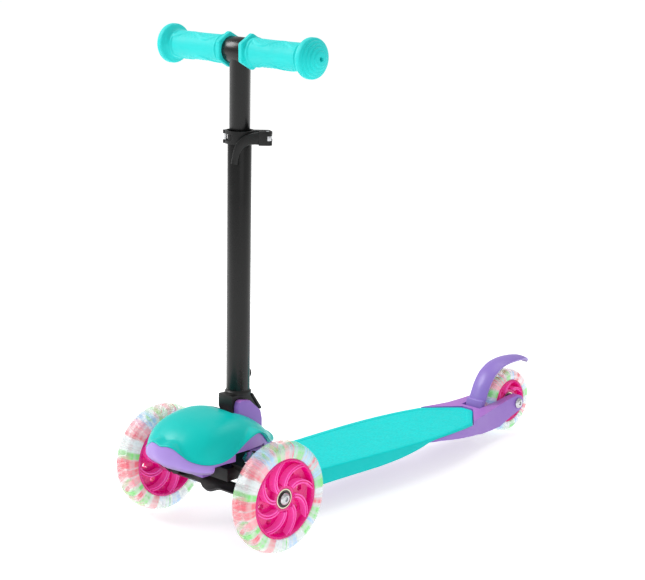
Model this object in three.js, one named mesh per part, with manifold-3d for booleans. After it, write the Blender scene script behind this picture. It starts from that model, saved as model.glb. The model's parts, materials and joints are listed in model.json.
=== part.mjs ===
// A child's three-wheeled kick scooter: two light-up wheels at the front that steer as the rider
// leans, one at the back under a foot brake, a folding stem and a handlebar of adjustable height.
// Millimetres. +Z is up, the scooter faces -Y and +X is the rider's left. While the pieces are
// made, y = 0 is the front axle; the last group moves them so that the origin is the middle of
// the footprint on the ground.
import * as THREE from "three";
import { mergeVertices } from "three/addons/utils/BufferGeometryUtils.js";
import Module from "manifold-3d";

// ---------------------------------------------------------------- driving dimensions
const fit = 0.3; // gap between two pieces that touch
const degree = Math.PI / 180;

const wheelbase = 487;
const halfTrack = 92.5; // middle of a front wheel from the middle of the scooter
const tyreWidth = 24;

const frontWheel = { radius: 60, rim: 43, spokes: 8, sides: 32 };
const rearWheel = { radius: 40, rim: 27, spokes: 6, sides: 24 };
const rimWall = 4.5;
const ledRing = { halfWidth: 4, depth: 2.4 };
const housing = { radius: 15, halfWidth: 9 }; // middle of a hub, around its bearings
const bearing = { radius: 11, bore: 4.2, width: 7 };
const hubBore = 9.5;
const webHalf = 2.5;
const spokeThickness = 2.6;
const spokeSweep = -40 * degree; // how far a spoke leans back by the time it meets the rim
const spokeBend = 1.4;
const spokeInset = 2; // from the face of the tyre

const axleRadius = bearing.bore - fit;
const boltHead = { radius: 6.5, height: 3.1, socket: 2.6 };

const kingPin = { x: 60, y: 8, z: 79, lean: 45 * degree, radius: 4 };
const steerArm = 26; // from the king bolt to the tie-rod pin
const knuckle = { top: 2, bottom: -7, eye: 11, boss: 10.5, nose: 6 };
const tieRod = { thickness: 5, halfHeight: 6, pin: 3, slot: 1.5 };
const truck = { sleeve: 10, sleeveBottom: 2.5, sleeveTop: 24 };

const ahead = (distance) => wheelbase - distance; // a place in front of the rear axle

const deck = { front: 96, tailStart: ahead(115), rear: ahead(70), top: 47.8, slope: -0.03 };
Object.assign(deck, { middle: THREE.MathUtils.lerp(deck.front, deck.rear, 0.48), wall: 3, halfWidth: 53.4 });
const tongue = { half: 14, from: ahead(76), slant: 1.16 }; // the cover's tail: blunt end and its sides
const frameWall = 3.5;
const frameBottom = 27;
const spineHalf = 22;
const railFrom = ahead(201); // the frame shows below the cover from here back
const deckScrew = { radius: 2, x: 30, inset: 29, rearInset: 92 };

const fork = { slot: 14.5, slotFront: ahead(64), halfWidthAtAxle: 24.5, endRadius: 10.5 };
const fender = { pivotY: ahead(56.5), pivotZ: 34, pin: 2.5, wall: 3.2, halfWidth: 13, drop: 3 };
const fenderTip = { y: ahead(-45), z: 82.5 };

const nose = { halfWidth: 58, front: -81, rear: 63, base: 84, roof: 136.5, wall: 3 };
const noseSquareness = 2.06; // exponent of the plan outline
const noseCrown = 3; // exponent of the crown
const noseSlot = { halfWidth: 18.5, front: 3.5, bottom: 104 };

const foldPivot = { y: 29.5, z: 124, pin: 4 };
const ear = { inner: 11, outer: 18, cap: 1.5, rightFront: 20 }; // the pin goes in from the right
const bracket = { front: 5, rear: 48, bottom: 88, floor: 94 };
const stemLean = 1.19 * degree;

const tubeWall = 1.4;
const lowerTube = { radius: 12.7, top: 430 };
lowerTube.bore = lowerTube.radius - tubeWall;
const upperTube = { radius: lowerTube.bore - fit, bottom: 185 };
upperTube.bore = upperTube.radius - tubeWall;
const collarHeight = { bottom: 147, seat: 148, top: 152, radius: lowerTube.radius + 1.5 };
const button = { z: 167.7, radius: 6.4, proud: 2 };

const barHeight = 514;
const tSleeve = { radius: upperTube.radius + 3, halfLength: 13.6 };
const grip = { start: 14, end: 117.6, body: 15, flange: 21, flangeAt: 100, flangeEnd: 108, bore: 9.8 };
const barRadius = grip.bore - fit;

const clampTurn = 44 * degree;
const clamp = { z: 424.6, halfHeight: 6.8, bore: lowerTube.radius + fit, wall: 2.6, earOut: 5.5, split: 0.6 };
clamp.radius = clamp.bore + clamp.wall;
const clampBolt = { x: clamp.radius + 13.9, radius: 2.2, eye: 4, eyeHalf: 2.6, notch: 2.7, pinY: -10.6, pin: 1.8 };
Object.assign(clamp, { earFrom: lowerTube.radius - 0.7, earTo: clampBolt.x + 4.5 });
const lever = { prong: 4.8, thickness: 4.4, tipX: -4.5, tipZ: -26.5 };
lever.reach = clampBolt.eyeHalf + fit + lever.thickness;

// ---------------------------------------------------------------- materials
const finish = (color, roughness, metalness = 0) =>
  new THREE.MeshStandardMaterial({ color, roughness, metalness });
const turquoise = finish(0x00cfc5, 0.45);
const deckTurquoise = finish(0x12e3e0, 0.6);
const gripRubber = finish(0x00e0e0, 0.7);
const purple = finish(0x9d78cc, 0.4);
const fenderPurple = finish(0x8e74cf, 0.4);
const blackPaint = finish(0x16161a, 0.3);
const blackPlastic = finish(0x202024, 0.5);
const magenta = finish(0xe6007e, 0.35);
const clearTyre = finish(0xe9f2ee, 0.2);
const steel = finish(0xb9bcc0, 0.3, 1);
const circuit = finish(0xf2f2ea, 0.6);

// ---------------------------------------------------------------- solids
const wasm = await Module();
wasm.setup();

// A closed geometry as a solid, with its faces turned outwards.
function solid(geometry) {
  const loose = geometry.index ? geometry.toNonIndexed() : geometry;
  const bare = new THREE.BufferGeometry().setAttribute("position", loose.getAttribute("position"));
  const merged = mergeVertices(bare, 1e-4);
  const corners = new Uint32Array(merged.index.array);
  const build = () =>
    new wasm.Manifold(
      new wasm.Mesh({ numProp: 3, vertProperties: merged.attributes.position.array, triVerts: corners }),
    );
  const made = build();
  if (made.volume() >= 0) return made;
  for (let i = 0; i < corners.length; i += 3) [corners[i], corners[i + 1]] = [corners[i + 1], corners[i]];
  return build();
}

const join = (first, ...others) => others.reduce((all, one) => all.add(one), first);
const cut = (first, ...others) => others.reduce((left, one) => left.subtract(one), first);

function mesh(name, made, material) {
  const { vertProperties, triVerts } = made.getMesh();
  const geometry = new THREE.BufferGeometry();
  geometry.setAttribute("position", new THREE.BufferAttribute(vertProperties, 3));
  geometry.setIndex(new THREE.BufferAttribute(triVerts, 1));
  geometry.computeVertexNormals();
  const piece = new THREE.Mesh(geometry, material);
  piece.name = name;
  return piece;
}

function group(...children) {
  const made = new THREE.Group();
  made.add(...children);
  return made;
}

function shapeOf(points) {
  return new THREE.Shape(points.map(([u, v]) => new THREE.Vector2(u, v)));
}

const plain = (depth) => ({ depth, bevelEnabled: false, curveSegments: 6 });

// A side profile in (y, z) carried across x, from one x to another.
function acrossX(shape, from, to) {
  const side = new THREE.Matrix4().makeBasis(
    new THREE.Vector3(0, 1, 0),
    new THREE.Vector3(0, 0, 1),
    new THREE.Vector3(1, 0, 0),
  );
  return solid(new THREE.ExtrudeGeometry(shape, plain(to - from)).applyMatrix4(side).translate(from, 0, 0));
}

// A plan shape in (x, y) carried upwards, from one z to another.
function upright(shape, from, to) {
  return solid(new THREE.ExtrudeGeometry(shape, plain(to - from)).translate(0, 0, from));
}

function box(x0, x1, y0, y1, z0, z1) {
  const geometry = new THREE.BoxGeometry(x1 - x0, y1 - y0, z1 - z0);
  return solid(geometry.translate((x0 + x1) / 2, (y0 + y1) / 2, (z0 + z1) / 2));
}

// A profile of [radius, place] points turned about an axis; it starts and ends on the axis,
// or closes on itself.
function turned(profile, sides, axis) {
  const first = profile[0];
  const last = profile[profile.length - 1];
  const onAxis = first[0] === 0 && last[0] === 0;
  const points = (onAxis ? profile : [...profile, first]).map(([r, at]) => new THREE.Vector2(r, at));
  const geometry = new THREE.LatheGeometry(points, sides);
  if (axis === "x") geometry.rotateZ(-Math.PI / 2);
  if (axis === "z") geometry.rotateX(Math.PI / 2);
  return solid(geometry);
}

function rod(radius, from, to, axis, sides = 20) {
  const profile = [[0, from], [radius, from], [radius, to], [0, to]];
  return turned(profile, sides, axis);
}

function ring(bore, radius, from, to, axis, sides = 20) {
  return turned([[bore, from], [radius, from], [radius, to], [bore, to]], sides, axis);
}

// A closed skin through rings of equally many points. Its ends are closed by fans, or by
// strips across a thin section, or the last ring joins the first.
function skin(rings, ends) {
  const count = rings[0].length;
  const points = rings.flat();
  const faces = [];
  const quad = (a, b, c, d) => faces.push(a, b, c, a, c, d);
  const spans = ends === "loop" ? rings.length : rings.length - 1;
  for (let k = 0; k < spans; k++) {
    const next = (k + 1) % rings.length;
    for (let i = 0; i < count; i++) {
      const j = (i + 1) % count;
      quad(k * count + i, k * count + j, next * count + j, next * count + i);
    }
  }
  const closeEnd = (start, reversed) => {
    if (ends === "fans") {
      const middle = new THREE.Vector3();
      for (let i = 0; i < count; i++) middle.add(points[start + i]);
      points.push(middle.divideScalar(count));
      for (let i = 0; i < count; i++) {
        const j = (i + 1) % count;
        const [a, b] = reversed ? [i, j] : [j, i];
        faces.push(points.length - 1, start + a, start + b);
      }
      return;
    }
    for (let i = 0; i < count / 2 - 1; i++) {
      const [a, b, c, d] = [i, i + 1, count - 2 - i, count - 1 - i].map((n) => start + n);
      if (reversed) quad(a, b, c, d);
      else quad(d, c, b, a);
    }
  };
  if (ends !== "loop") {
    closeEnd(0, false);
    closeEnd((rings.length - 1) * count, true);
  }
  const geometry = new THREE.BufferGeometry();
  const places = points.flatMap((point) => point.toArray());
  geometry.setAttribute("position", new THREE.Float32BufferAttribute(places, 3));
  geometry.setIndex(faces);
  return solid(geometry);
}

// A smooth height through [place, value] points.
function smoothLine(points) {
  const curve = new THREE.SplineCurve(points.map(([at, value]) => new THREE.Vector2(at, value)));
  const samples = curve.getPoints(points.length * 12);
  return (at) => {
    const after = samples.findIndex((p) => p.x >= at);
    if (after < 0) return samples[samples.length - 1].y;
    if (after === 0) return samples[0].y;
    const [a, b] = [samples[after - 1], samples[after]];
    return THREE.MathUtils.lerp(a.y, b.y, (at - a.x) / (b.x - a.x));
  };
}

// A coil of round wire about the z axis.
function coil(radius, wire, pitch, turns, from) {
  const stepsPerTurn = 9;
  const path = new THREE.CatmullRomCurve3(
    Array.from({ length: turns * stepsPerTurn + 1 }, (_, i) => {
      const angle = (i / stepsPerTurn) * 2 * Math.PI;
      return new THREE.Vector3(
        radius * Math.cos(angle),
        radius * Math.sin(angle),
        from + (pitch * i) / stepsPerTurn,
      );
    }),
  );
  const section = new THREE.Shape().absarc(0, 0, wire / 2, 0, 2 * Math.PI);
  const steps = turns * stepsPerTurn;
  return solid(new THREE.ExtrudeGeometry(section, { extrudePath: path, steps, curveSegments: 2 }));
}

// ---------------------------------------------------------------- wheels
// Every wheel is made about the x axis at the origin.
function spoke(wheel, index) {
  const inner = housing.radius - 1;
  const outer = wheel.rim - rimWall + 0.5;
  const start = (index / wheel.spokes) * 2 * Math.PI;
  const steps = 3;
  const side = (sign) =>
    Array.from({ length: steps + 1 }, (_, i) => {
      const t = i / steps;
      const radius = THREE.MathUtils.lerp(inner, outer, t);
      const angle = start + spokeSweep * t ** spokeBend + (sign * spokeThickness) / 2 / radius;
      return [radius * Math.cos(angle), radius * Math.sin(angle)];
    });
  const half = tyreWidth / 2 - spokeInset;
  return acrossX(shapeOf([...side(-1), ...side(1).reverse()]), -half, half);
}

function hub(wheel) {
  const half = tyreWidth / 2;
  const wallIn = wheel.rim - rimWall;
  const profile = [
    [hubBore, -housing.halfWidth],
    [housing.radius, -housing.halfWidth],
    [housing.radius, -webHalf],
    [wallIn, -webHalf],
    [wallIn, -half],
    [wheel.rim, -half],
    [wheel.rim, half],
    [wallIn, half],
    [wallIn, webHalf],
    [housing.radius, webHalf],
    [housing.radius, housing.halfWidth],
    [hubBore, housing.halfWidth],
  ];
  let made = turned(profile, wheel.sides, "x");
  for (let i = 0; i < wheel.spokes; i++) made = made.add(spoke(wheel, i));
  const groove = ledRing.halfWidth + fit;
  made = made.subtract(
    ring(wheel.rim - ledRing.depth - fit, wheel.rim + 5, -groove, groove, "x", wheel.sides),
  );
  const seat = housing.halfWidth - bearing.width;
  for (const side of [-1, 1]) {
    const [from, to] = [side * seat, side * half].sort((a, b) => a - b);
    made = made.subtract(rod(bearing.radius + fit, from, to, "x", 16));
  }
  const windowRadius = (housing.radius + wallIn) / 2;
  for (let i = 0; i < wheel.spokes; i++) {
    const angle = ((i + 0.5) / wheel.spokes) * 2 * Math.PI + spokeSweep * 0.5 ** spokeBend;
    const hole = rod(wheel.radius / 20, -half, half, "x", 6);
    made = made.subtract(hole.translate(0, windowRadius * Math.cos(angle), windowRadius * Math.sin(angle)));
  }
  return made;
}

function tyre(wheel) {
  const half = tyreWidth / 2;
  const inner = wheel.rim + fit;
  const tread = wheel.radius;
  const profile = [
    [inner, -half],
    [tread - 8, -half],
    [tread - 2.6, -half + 3],
    [tread, -4],
    [tread, 4],
    [tread - 2.6, half - 3],
    [tread - 8, half],
    [inner, half],
  ];
  return turned(profile, wheel.sides, "x");
}

function bearingRing(from, to) {
  return ring(bearing.bore, bearing.radius, from, to, "x", 16);
}

function wheelSet(prefix, wheel) {
  const seat = housing.halfWidth - bearing.width;
  const { halfWidth, depth } = ledRing;
  const light = ring(wheel.rim - depth, wheel.rim, -halfWidth, halfWidth, "x", wheel.sides);
  return group(
    mesh(prefix + "_hub", hub(wheel), magenta),
    mesh(prefix + "_tyre", tyre(wheel), clearTyre),
    mesh(prefix + "_led_ring", light, circuit),
    mesh(prefix + "_bearing_right", bearingRing(-housing.halfWidth, -seat - fit), steel),
    mesh(prefix + "_bearing_left", bearingRing(seat + fit, housing.halfWidth), steel),
  );
}

function magnetSpacer() {
  const half = housing.halfWidth - bearing.width - fit;
  return ring(bearing.bore, hubBore - 0.8, -half, half, "x");
}

// A button head with a hexagon socket, its flat underside at x = 0 and its shank towards -x.
function buttonBolt(length) {
  const { radius, height, socket } = boltHead;
  const head = [
    [0, -length], [axleRadius, -length], [axleRadius, 0], [radius, 0], [radius, height * 0.35],
    [radius * 0.85, height * 0.75], [radius * 0.55, height], [0, height],
  ];
  return cut(turned(head, 20, "x"), rod(socket, height - 1.8, height + 1, "x", 6));
}

// ---------------------------------------------------------------- front truck and steering
// A knuckle is made in its own frame: the king bolt is the z axis, y points up and back, and
// +x is outboard.
const knuckleLean = new THREE.Matrix4().makeRotationX(kingPin.lean);
const toKnuckle = knuckleLean.clone().invert();
const axleInKnuckle = new THREE.Vector3(0, -kingPin.y, frontWheel.radius - kingPin.z);
axleInKnuckle.applyMatrix4(toKnuckle);
const knuckleWidth = halfTrack - kingPin.x;
const wheelFace = knuckleWidth - housing.halfWidth;
const bossTo = knuckleWidth - tyreWidth / 2 - 1.5;
const bossFrom = tieRod.halfHeight + 3.5;

function knucklePlate() {
  const y = axleInKnuckle.y;
  const outline = new THREE.Shape();
  outline.moveTo(bossTo, y + knuckle.boss);
  outline.lineTo(bossTo, y - knuckle.boss);
  outline.lineTo(6, -steerArm - 8);
  outline.absarc(0, -steerArm, 8, -50 * degree, -180 * degree, true);
  outline.lineTo(-knuckle.eye, 0);
  outline.absarc(0, 0, knuckle.eye, 180 * degree, 0, true);
  outline.closePath();
  const plate = upright(outline, knuckle.bottom, knuckle.top);
  const { z } = axleInKnuckle;
  const boss = rod(knuckle.boss, bossFrom, bossTo, "x").translate(0, y, z);
  const bossNose = rod(knuckle.nose, bossTo - 1, wheelFace - fit, "x").translate(0, y, z);
  return cut(
    join(plate, boss, bossNose),
    rod(kingPin.radius + fit, -30, 30, "z"),
    rod(tieRod.pin + fit, -30, 30, "z").translate(0, -steerArm, 0),
    rod(axleRadius + fit, bossFrom - 5, wheelFace + 5, "x").translate(0, y, z),
  );
}

function knuckleSet(side) {
  const mirrored = side === "left" ? 1 : -1;
  const flip = (made) => (mirrored > 0 ? made : made.mirror([1, 0, 0]));
  const { y, z } = axleInKnuckle;
  const headAt = knuckleWidth + housing.halfWidth + fit;
  const bolt = buttonBolt(headAt - bossFrom - 1).translate(headAt, y, z);
  const pinBottom = knuckle.bottom - fit - tieRod.thickness - fit;
  const pin = join(
    rod(tieRod.pin, pinBottom - 2, knuckle.top + fit, "z"),
    rod(tieRod.pin + 3, knuckle.top + fit, knuckle.top + fit + 2.5, "z"),
    rod(tieRod.pin + 2.5, pinBottom - 2.5, pinBottom, "z"),
  ).translate(0, -steerArm, 0);
  const spring = coil(kingPin.radius + 3.4, 2, 2.6, 3, knuckle.bottom - fit - 9.3);
  const spacer = magnetSpacer().translate(knuckleWidth, y, z);
  const made = group(
    mesh("knuckle_" + side, flip(knucklePlate()), blackPlastic),
    mesh("tie_pin_" + side, flip(pin), steel),
    mesh("steer_spring_" + side, flip(spring), steel),
    mesh("front_" + side + "_axle_bolt", flip(bolt), steel),
    mesh("front_" + side + "_magnet_spacer", flip(spacer), blackPlastic),
  );
  made.position.set(mirrored * kingPin.x, kingPin.y, kingPin.z);
  made.rotation.x = kingPin.lean;
  return made;
}

function kingBolt(side) {
  const top = truck.sleeveTop + fit;
  const bottom = knuckle.bottom - 11.5;
  const made = join(
    rod(kingPin.radius, bottom, top + 1, "z"),
    rod(kingPin.radius + 3.2, top, top + 4, "z", 6),
    rod(kingPin.radius + 3.2, bottom - 4, bottom, "z", 6),
  );
  const piece = mesh("king_bolt_" + side, made, steel);
  piece.position.set((side === "left" ? 1 : -1) * kingPin.x, kingPin.y, kingPin.z);
  piece.rotation.x = kingPin.lean;
  return piece;
}

function truckBeam() {
  const middleHalf = kingPin.x - 26;
  const inKnuckleFrame = (made) =>
    made.rotate([kingPin.lean / degree, 0, 0]).translate(0, kingPin.y, kingPin.z);
  let made = box(-middleHalf, middleHalf, -18, 4, 66, 80);
  const bores = [];
  for (const side of [-1, 1]) {
    const x = side * kingPin.x;
    const [from, to] = [side * (middleHalf - 4), x].sort((a, b) => a - b);
    made = join(
      made,
      inKnuckleFrame(box(from, to, -truck.sleeve, truck.sleeve, truck.sleeveBottom, truck.sleeveTop - 5)),
      inKnuckleFrame(rod(truck.sleeve, truck.sleeveBottom, truck.sleeveTop, "z").translate(x, 0, 0)),
    );
    bores.push(inKnuckleFrame(rod(kingPin.radius + fit, -5, 40, "z").translate(x, 0, 0)));
  }
  return cut(made, ...bores);
}

function tieRodBar() {
  const top = knuckle.bottom - fit;
  const bottom = top - tieRod.thickness;
  const reach = kingPin.x;
  const outline = new THREE.Shape();
  const half = tieRod.halfHeight;
  outline.moveTo(-reach, half);
  outline.absarc(-reach, 0, half, 90 * degree, 270 * degree, false);
  outline.lineTo(-22, -half);
  outline.bezierCurveTo(-16, -half, -14, -half - 6, -6, -half - 6);
  outline.bezierCurveTo(2, -half - 6, 4, -half, 12, -half);
  outline.lineTo(reach, -half);
  outline.absarc(reach, 0, half, -90 * degree, 90 * degree, false);
  outline.closePath();
  const bar = upright(outline, bottom, top);
  const pinHole = rod(tieRod.pin + fit, bottom - 2, top + 2, "z");
  const slotHalf = tieRod.slot;
  const slot = join(
    pinHole.translate(-slotHalf, 0, 0),
    pinHole.translate(slotHalf, 0, 0),
    box(-slotHalf, slotHalf, -tieRod.pin - fit, tieRod.pin + fit, bottom - 2, top + 2),
  );
  const linked = cut(bar, pinHole.translate(reach, 0, 0), slot.translate(-reach, 0, 0));
  const piece = mesh("tie_rod", linked, blackPlastic);
  const holder = group(piece);
  piece.position.y = -steerArm;
  holder.position.set(0, kingPin.y, kingPin.z);
  holder.rotation.x = kingPin.lean;
  return holder;
}

// ---------------------------------------------------------------- deck, frame and fork
const deckTop = (y) => deck.top + deck.slope * (y - deck.middle);
const frameTop = (y) => deckTop(y) - deck.wall - fit;

// Half width of the board, which bulges gently about its middle.
function boardHalf(y) {
  const s = (3.21 * (y - deck.middle)) / (deck.rear - deck.front);
  return deck.halfWidth + 1.83 * s - 4.9 * s * s - 2.24 * s * s * s;
}

// Half width of the deck and of the fork behind it.
function halfWidthAt(y) {
  if (y <= deck.tailStart) return boardHalf(y);
  const t = Math.min(1, (y - deck.tailStart) / (wheelbase - 8 - deck.tailStart));
  return THREE.MathUtils.lerp(boardHalf(deck.tailStart), fork.halfWidthAtAxle, Math.sin((t * Math.PI) / 2));
}

// Plan of the room the deck cover takes: it narrows to a blunt tongue between the fork's arms.
function coverPlan(gap) {
  const shift = gap * Math.hypot(1, tongue.slant);
  const wide = deck.halfWidth * 1.3;
  const start = tongue.from + shift - (wide - tongue.half) * tongue.slant;
  const side = [
    [wide, 0], [wide, start], [tongue.half, tongue.from + shift], [tongue.half * 0.6, deck.rear + shift],
  ];
  return shapeOf([...side, ...side.map(([x, y]) => [-x, y]).reverse()]);
}

function planOutline(from, to, inset, steps, corner) {
  const side = Array.from({ length: steps + 1 }, (_, i) => {
    const y = THREE.MathUtils.lerp(from, to, i / steps);
    const front = Math.max(0, 1 - (y - from) / corner);
    const round = corner * (1 - Math.sqrt(1 - front * front));
    return [halfWidthAt(y) - inset - round, y];
  });
  return shapeOf([...side, ...side.map(([x, y]) => [-x, y]).reverse()]);
}

// Lower edge of the deck cover in side view, from the rear forwards, lowered by a gap.
const coverLowerEdge = (gap) =>
  [
    [deck.rear + 8, 39], [deck.tailStart, 40.5], [railFrom + 44, 42.3], [railFrom + 14, 43.3],
    [railFrom - 2, 42.3], [railFrom - 18, 39], [railFrom - 51, 35], [railFrom - 86, 33.2],
  ].map(([y, z]) => [y, z - gap]);

const deckScrewPlaces = [deck.front + deckScrew.inset, deck.rear - deckScrew.rearInset].flatMap((y) => [
  [-deckScrew.x, y],
  [deckScrew.x, y],
]);

function deckCover() {
  const outer = acrossX(
    shapeOf([
      [deck.front, deckTop(deck.front) - 2], [deck.front + 3, deckTop(deck.front + 3)],
      [deck.rear + 8, deckTop(deck.rear + 8)], ...coverLowerEdge(0), [deck.front, 33.5],
    ]),
    -70,
    70,
  );
  const plan = upright(planOutline(deck.front, deck.rear + 8, 0, 24, 10), 0, 70);
  const [from, to] = [deck.front + deck.wall, deck.tailStart - deck.wall];
  const under = acrossX(
    shapeOf([[from, deckTop(from) - deck.wall], [to, deckTop(to) - deck.wall], [to, 0], [from, 0]]),
    -70,
    70,
  );
  const inside = upright(planOutline(from, to, deck.wall, 20, 8), -5, 70);
  const screwHoles = deckScrewPlaces.map(([x, y]) =>
    rod(deckScrew.radius + fit, -30, deckTop(y) - 1.4, "z", 12).translate(x, y, 0),
  );
  const neckHalf = spineHalf + fit;
  const neckRoom = box(-neckHalf, neckHalf, deck.front - 5, from + 2, 0, frameTop(deck.front) - 1 + fit);
  const body = outer.intersect(plan).intersect(upright(coverPlan(0), 0, 70));
  return cut(body, under.intersect(inside), neckRoom, ...screwHoles);
}

const fenderPinHalf = halfWidthAt(fender.pivotY) - 3;

function chassisFrame() {
  const axle = [wheelbase, rearWheel.radius];
  const [front, rear] = [deck.front + deck.wall + fit, wheelbase + fork.endRadius + 2];
  const coverEnd = deck.tailStart - deck.wall - fit;

  const armEnd = [80, 45, 0, -40, -70].map((turn) => [
    axle[0] + fork.endRadius * Math.cos(turn * degree),
    axle[1] + fork.endRadius * Math.sin(turn * degree),
  ]);
  const flankSide = shapeOf([
    [railFrom, deckTop(railFrom)], [deck.tailStart, deckTop(deck.tailStart)], [deck.rear, 44.2],
    [ahead(31), 47], [ahead(15), 49.4], ...armEnd, [ahead(38), 18], [ahead(58), 18.5], [ahead(83), 21],
    [ahead(99), 24.5], [ahead(121), 28.5], [ahead(143), 32], [ahead(161), 35.3], [ahead(180), 39],
    [railFrom, 41.8],
  ]);
  const coverSide = shapeOf([[railFrom - 2, 80], [deck.rear + 8, 80], ...coverLowerEdge(fit).slice(0, 5)]);
  const coverRoom = acrossX(coverSide, -70, 70).intersect(upright(coverPlan(fit), 0, 80));
  const flanks = acrossX(flankSide, -70, 70)
    .intersect(upright(planOutline(railFrom, rear, 0, 26, 1), 0, 80))
    .subtract(coverRoom);

  const walls = acrossX(
    shapeOf([
      [front, frameTop(front)], [coverEnd, frameTop(coverEnd)], [coverEnd, 30], [ahead(137), 32],
      [ahead(161), 36], [ahead(187), 40.2], [railFrom, 41.6], [railFrom - 18, 39.2],
      [railFrom - 51, 35.2], [front, 34],
    ]),
    -70,
    70,
  ).intersect(upright(planOutline(front, coverEnd, deck.wall + fit, 20, 8), 0, 70));
  const [hollowFrom, hollowTo] = [front + frameWall, coverEnd - 8];
  const hollow = acrossX(
    shapeOf([
      [hollowFrom, frameTop(hollowFrom) - frameWall], [hollowTo, frameTop(hollowTo) - frameWall],
      [hollowTo, 0], [hollowFrom, 0],
    ]),
    -70,
    70,
  ).intersect(upright(planOutline(hollowFrom, hollowTo, deck.wall + fit + frameWall, 20, 8), -5, 70));

  const ribs = [0.17, 0.35, 0.53, 0.71, 0.88].map((share) => {
    const y = THREE.MathUtils.lerp(front, coverEnd, share);
    const half = boardHalf(y) - 4 * frameWall;
    return box(-half, half, y - 1.5, y + 1.5, 37, frameTop(y) - 1);
  });
  const spine = acrossX(
    shapeOf([
      [-42, 80.3], [44, 80.3], [62, 64], [80, 36], [deck.front + 6, frameBottom],
      [ahead(147), frameBottom], [fork.slotFront - 4, 20], [fork.slotFront - 4, 37],
      [coverEnd - 2, 39], [coverEnd - 2, frameTop(coverEnd) - 1],
      [deck.front, frameTop(deck.front) - 1], [deck.front - 4, 58], [76, 78], [64, bracket.bottom - fit],
      [-42, bracket.bottom - fit],
    ]),
    -spineHalf,
    spineHalf,
  );

  const slot = box(-fork.slot, fork.slot, fork.slotFront, rear + 10, 0, 80);
  const pinHole = rod(fender.pin + fit, -60, fenderPinHalf + fit, "x");
  const axleHole = rod(axleRadius + fit, -60, 60, "x").translate(0, ...axle);
  const screwHoles = deckScrewPlaces.map(([x, y]) =>
    rod(deckScrew.radius + fit, 0, 80, "z", 12).translate(x, y, 0),
  );
  const peg = box(-8, 8, -30, -18 - fit, 67, 82);
  const holes = [pinHole.translate(0, fender.pivotY, fender.pivotZ), axleHole, ...screwHoles];
  return cut(join(walls.add(flanks).subtract(hollow), ...ribs, spine, peg), slot, ...holes);
}

function deckScrewPiece([x, y]) {
  const { radius } = deckScrew;
  const floor = frameTop(y) - frameWall - fit - 0.6;
  const shank = rod(radius, floor - 1, deckTop(y) - 1.8, "z", 12);
  return join(shank, rod(radius * 2, floor - 2.4, floor, "z", 12)).translate(x, y, 0);
}

// ---------------------------------------------------------------- nose
const noseMiddle = (nose.front + nose.rear) / 2;

function noseRoof(y) {
  const back = y - noseMiddle;
  return back < 0 ? nose.roof - 8 * (back / 70) ** 2 : nose.roof - 30 * (back / 75) ** 1.6;
}

// Height of the hood's lower edge by the angle from straight ahead, in degrees.
const hoodEdge = smoothLine([
  [-16, 113], [-8, 114], [0, 112.5], [8, 114], [16, 113], [24, 108.5], [32, 103], [40, 99.8], [48, 98],
  [56, 97.5], [64, 98.5], [72, 102], [80, 108], [88, 114.5], [96, 119], [106, 119.5], [114, 114],
  [122, 105], [132, 100.5], [150, 99.5], [190, 99.5],
]);

const noseSides = 40;

// A ring of the nose's outer form: grow is how far it stands out, level is a function that gives
// the height for an angle from straight ahead and for the place in plan.
function noseRing(grow, heightAt, reach = 1) {
  return Array.from({ length: noseSides }, (_, i) => {
    const around = (i / noseSides) * 2 * Math.PI;
    const power = (value) => Math.sign(value) * Math.abs(value) ** (2 / noseSquareness);
    const stand = typeof grow === "function" ? grow(fromFront(around)) : grow;
    const x = (nose.halfWidth + stand) * reach * power(Math.sin(around));
    const y = noseMiddle - ((nose.rear - nose.front) / 2 + stand) * reach * power(Math.cos(around));
    return new THREE.Vector3(x, y, heightAt(fromFront(around), y));
  });
}

const fromFront = (around) => Math.min(around, 2 * Math.PI - around) / degree;

function hoodSurface(inset, levels) {
  const rings = [noseRing(-inset, (angle) => hoodEdge(angle))];
  for (let k = 1; k <= levels; k++) {
    const t = k / (levels + 0.4);
    const reach = Math.cos((t * Math.PI) / 2) ** 0.8;
    const rise = (1 - reach ** noseCrown) ** (1 / noseCrown);
    rings.push(
      noseRing(
        -inset,
        (angle, y) => {
          const top = noseRoof(y) - inset;
          const onCrown = nose.base + (top - nose.base) * rise;
          return Math.max(onCrown, hoodEdge(angle) + 10 * t);
        },
        reach,
      ),
    );
  }
  return rings;
}

function noseCover() {
  const outer = hoodSurface(0, 7);
  const inner = hoodSurface(nose.wall, 7);
  const shell = skin([...outer.reverse(), ...inner], "fans");
  const { halfWidth, front, bottom } = noseSlot;
  const slot = box(-halfWidth, halfWidth, front, nose.rear + 30, bottom, 200);
  return cut(shell, slot);
}

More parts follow.
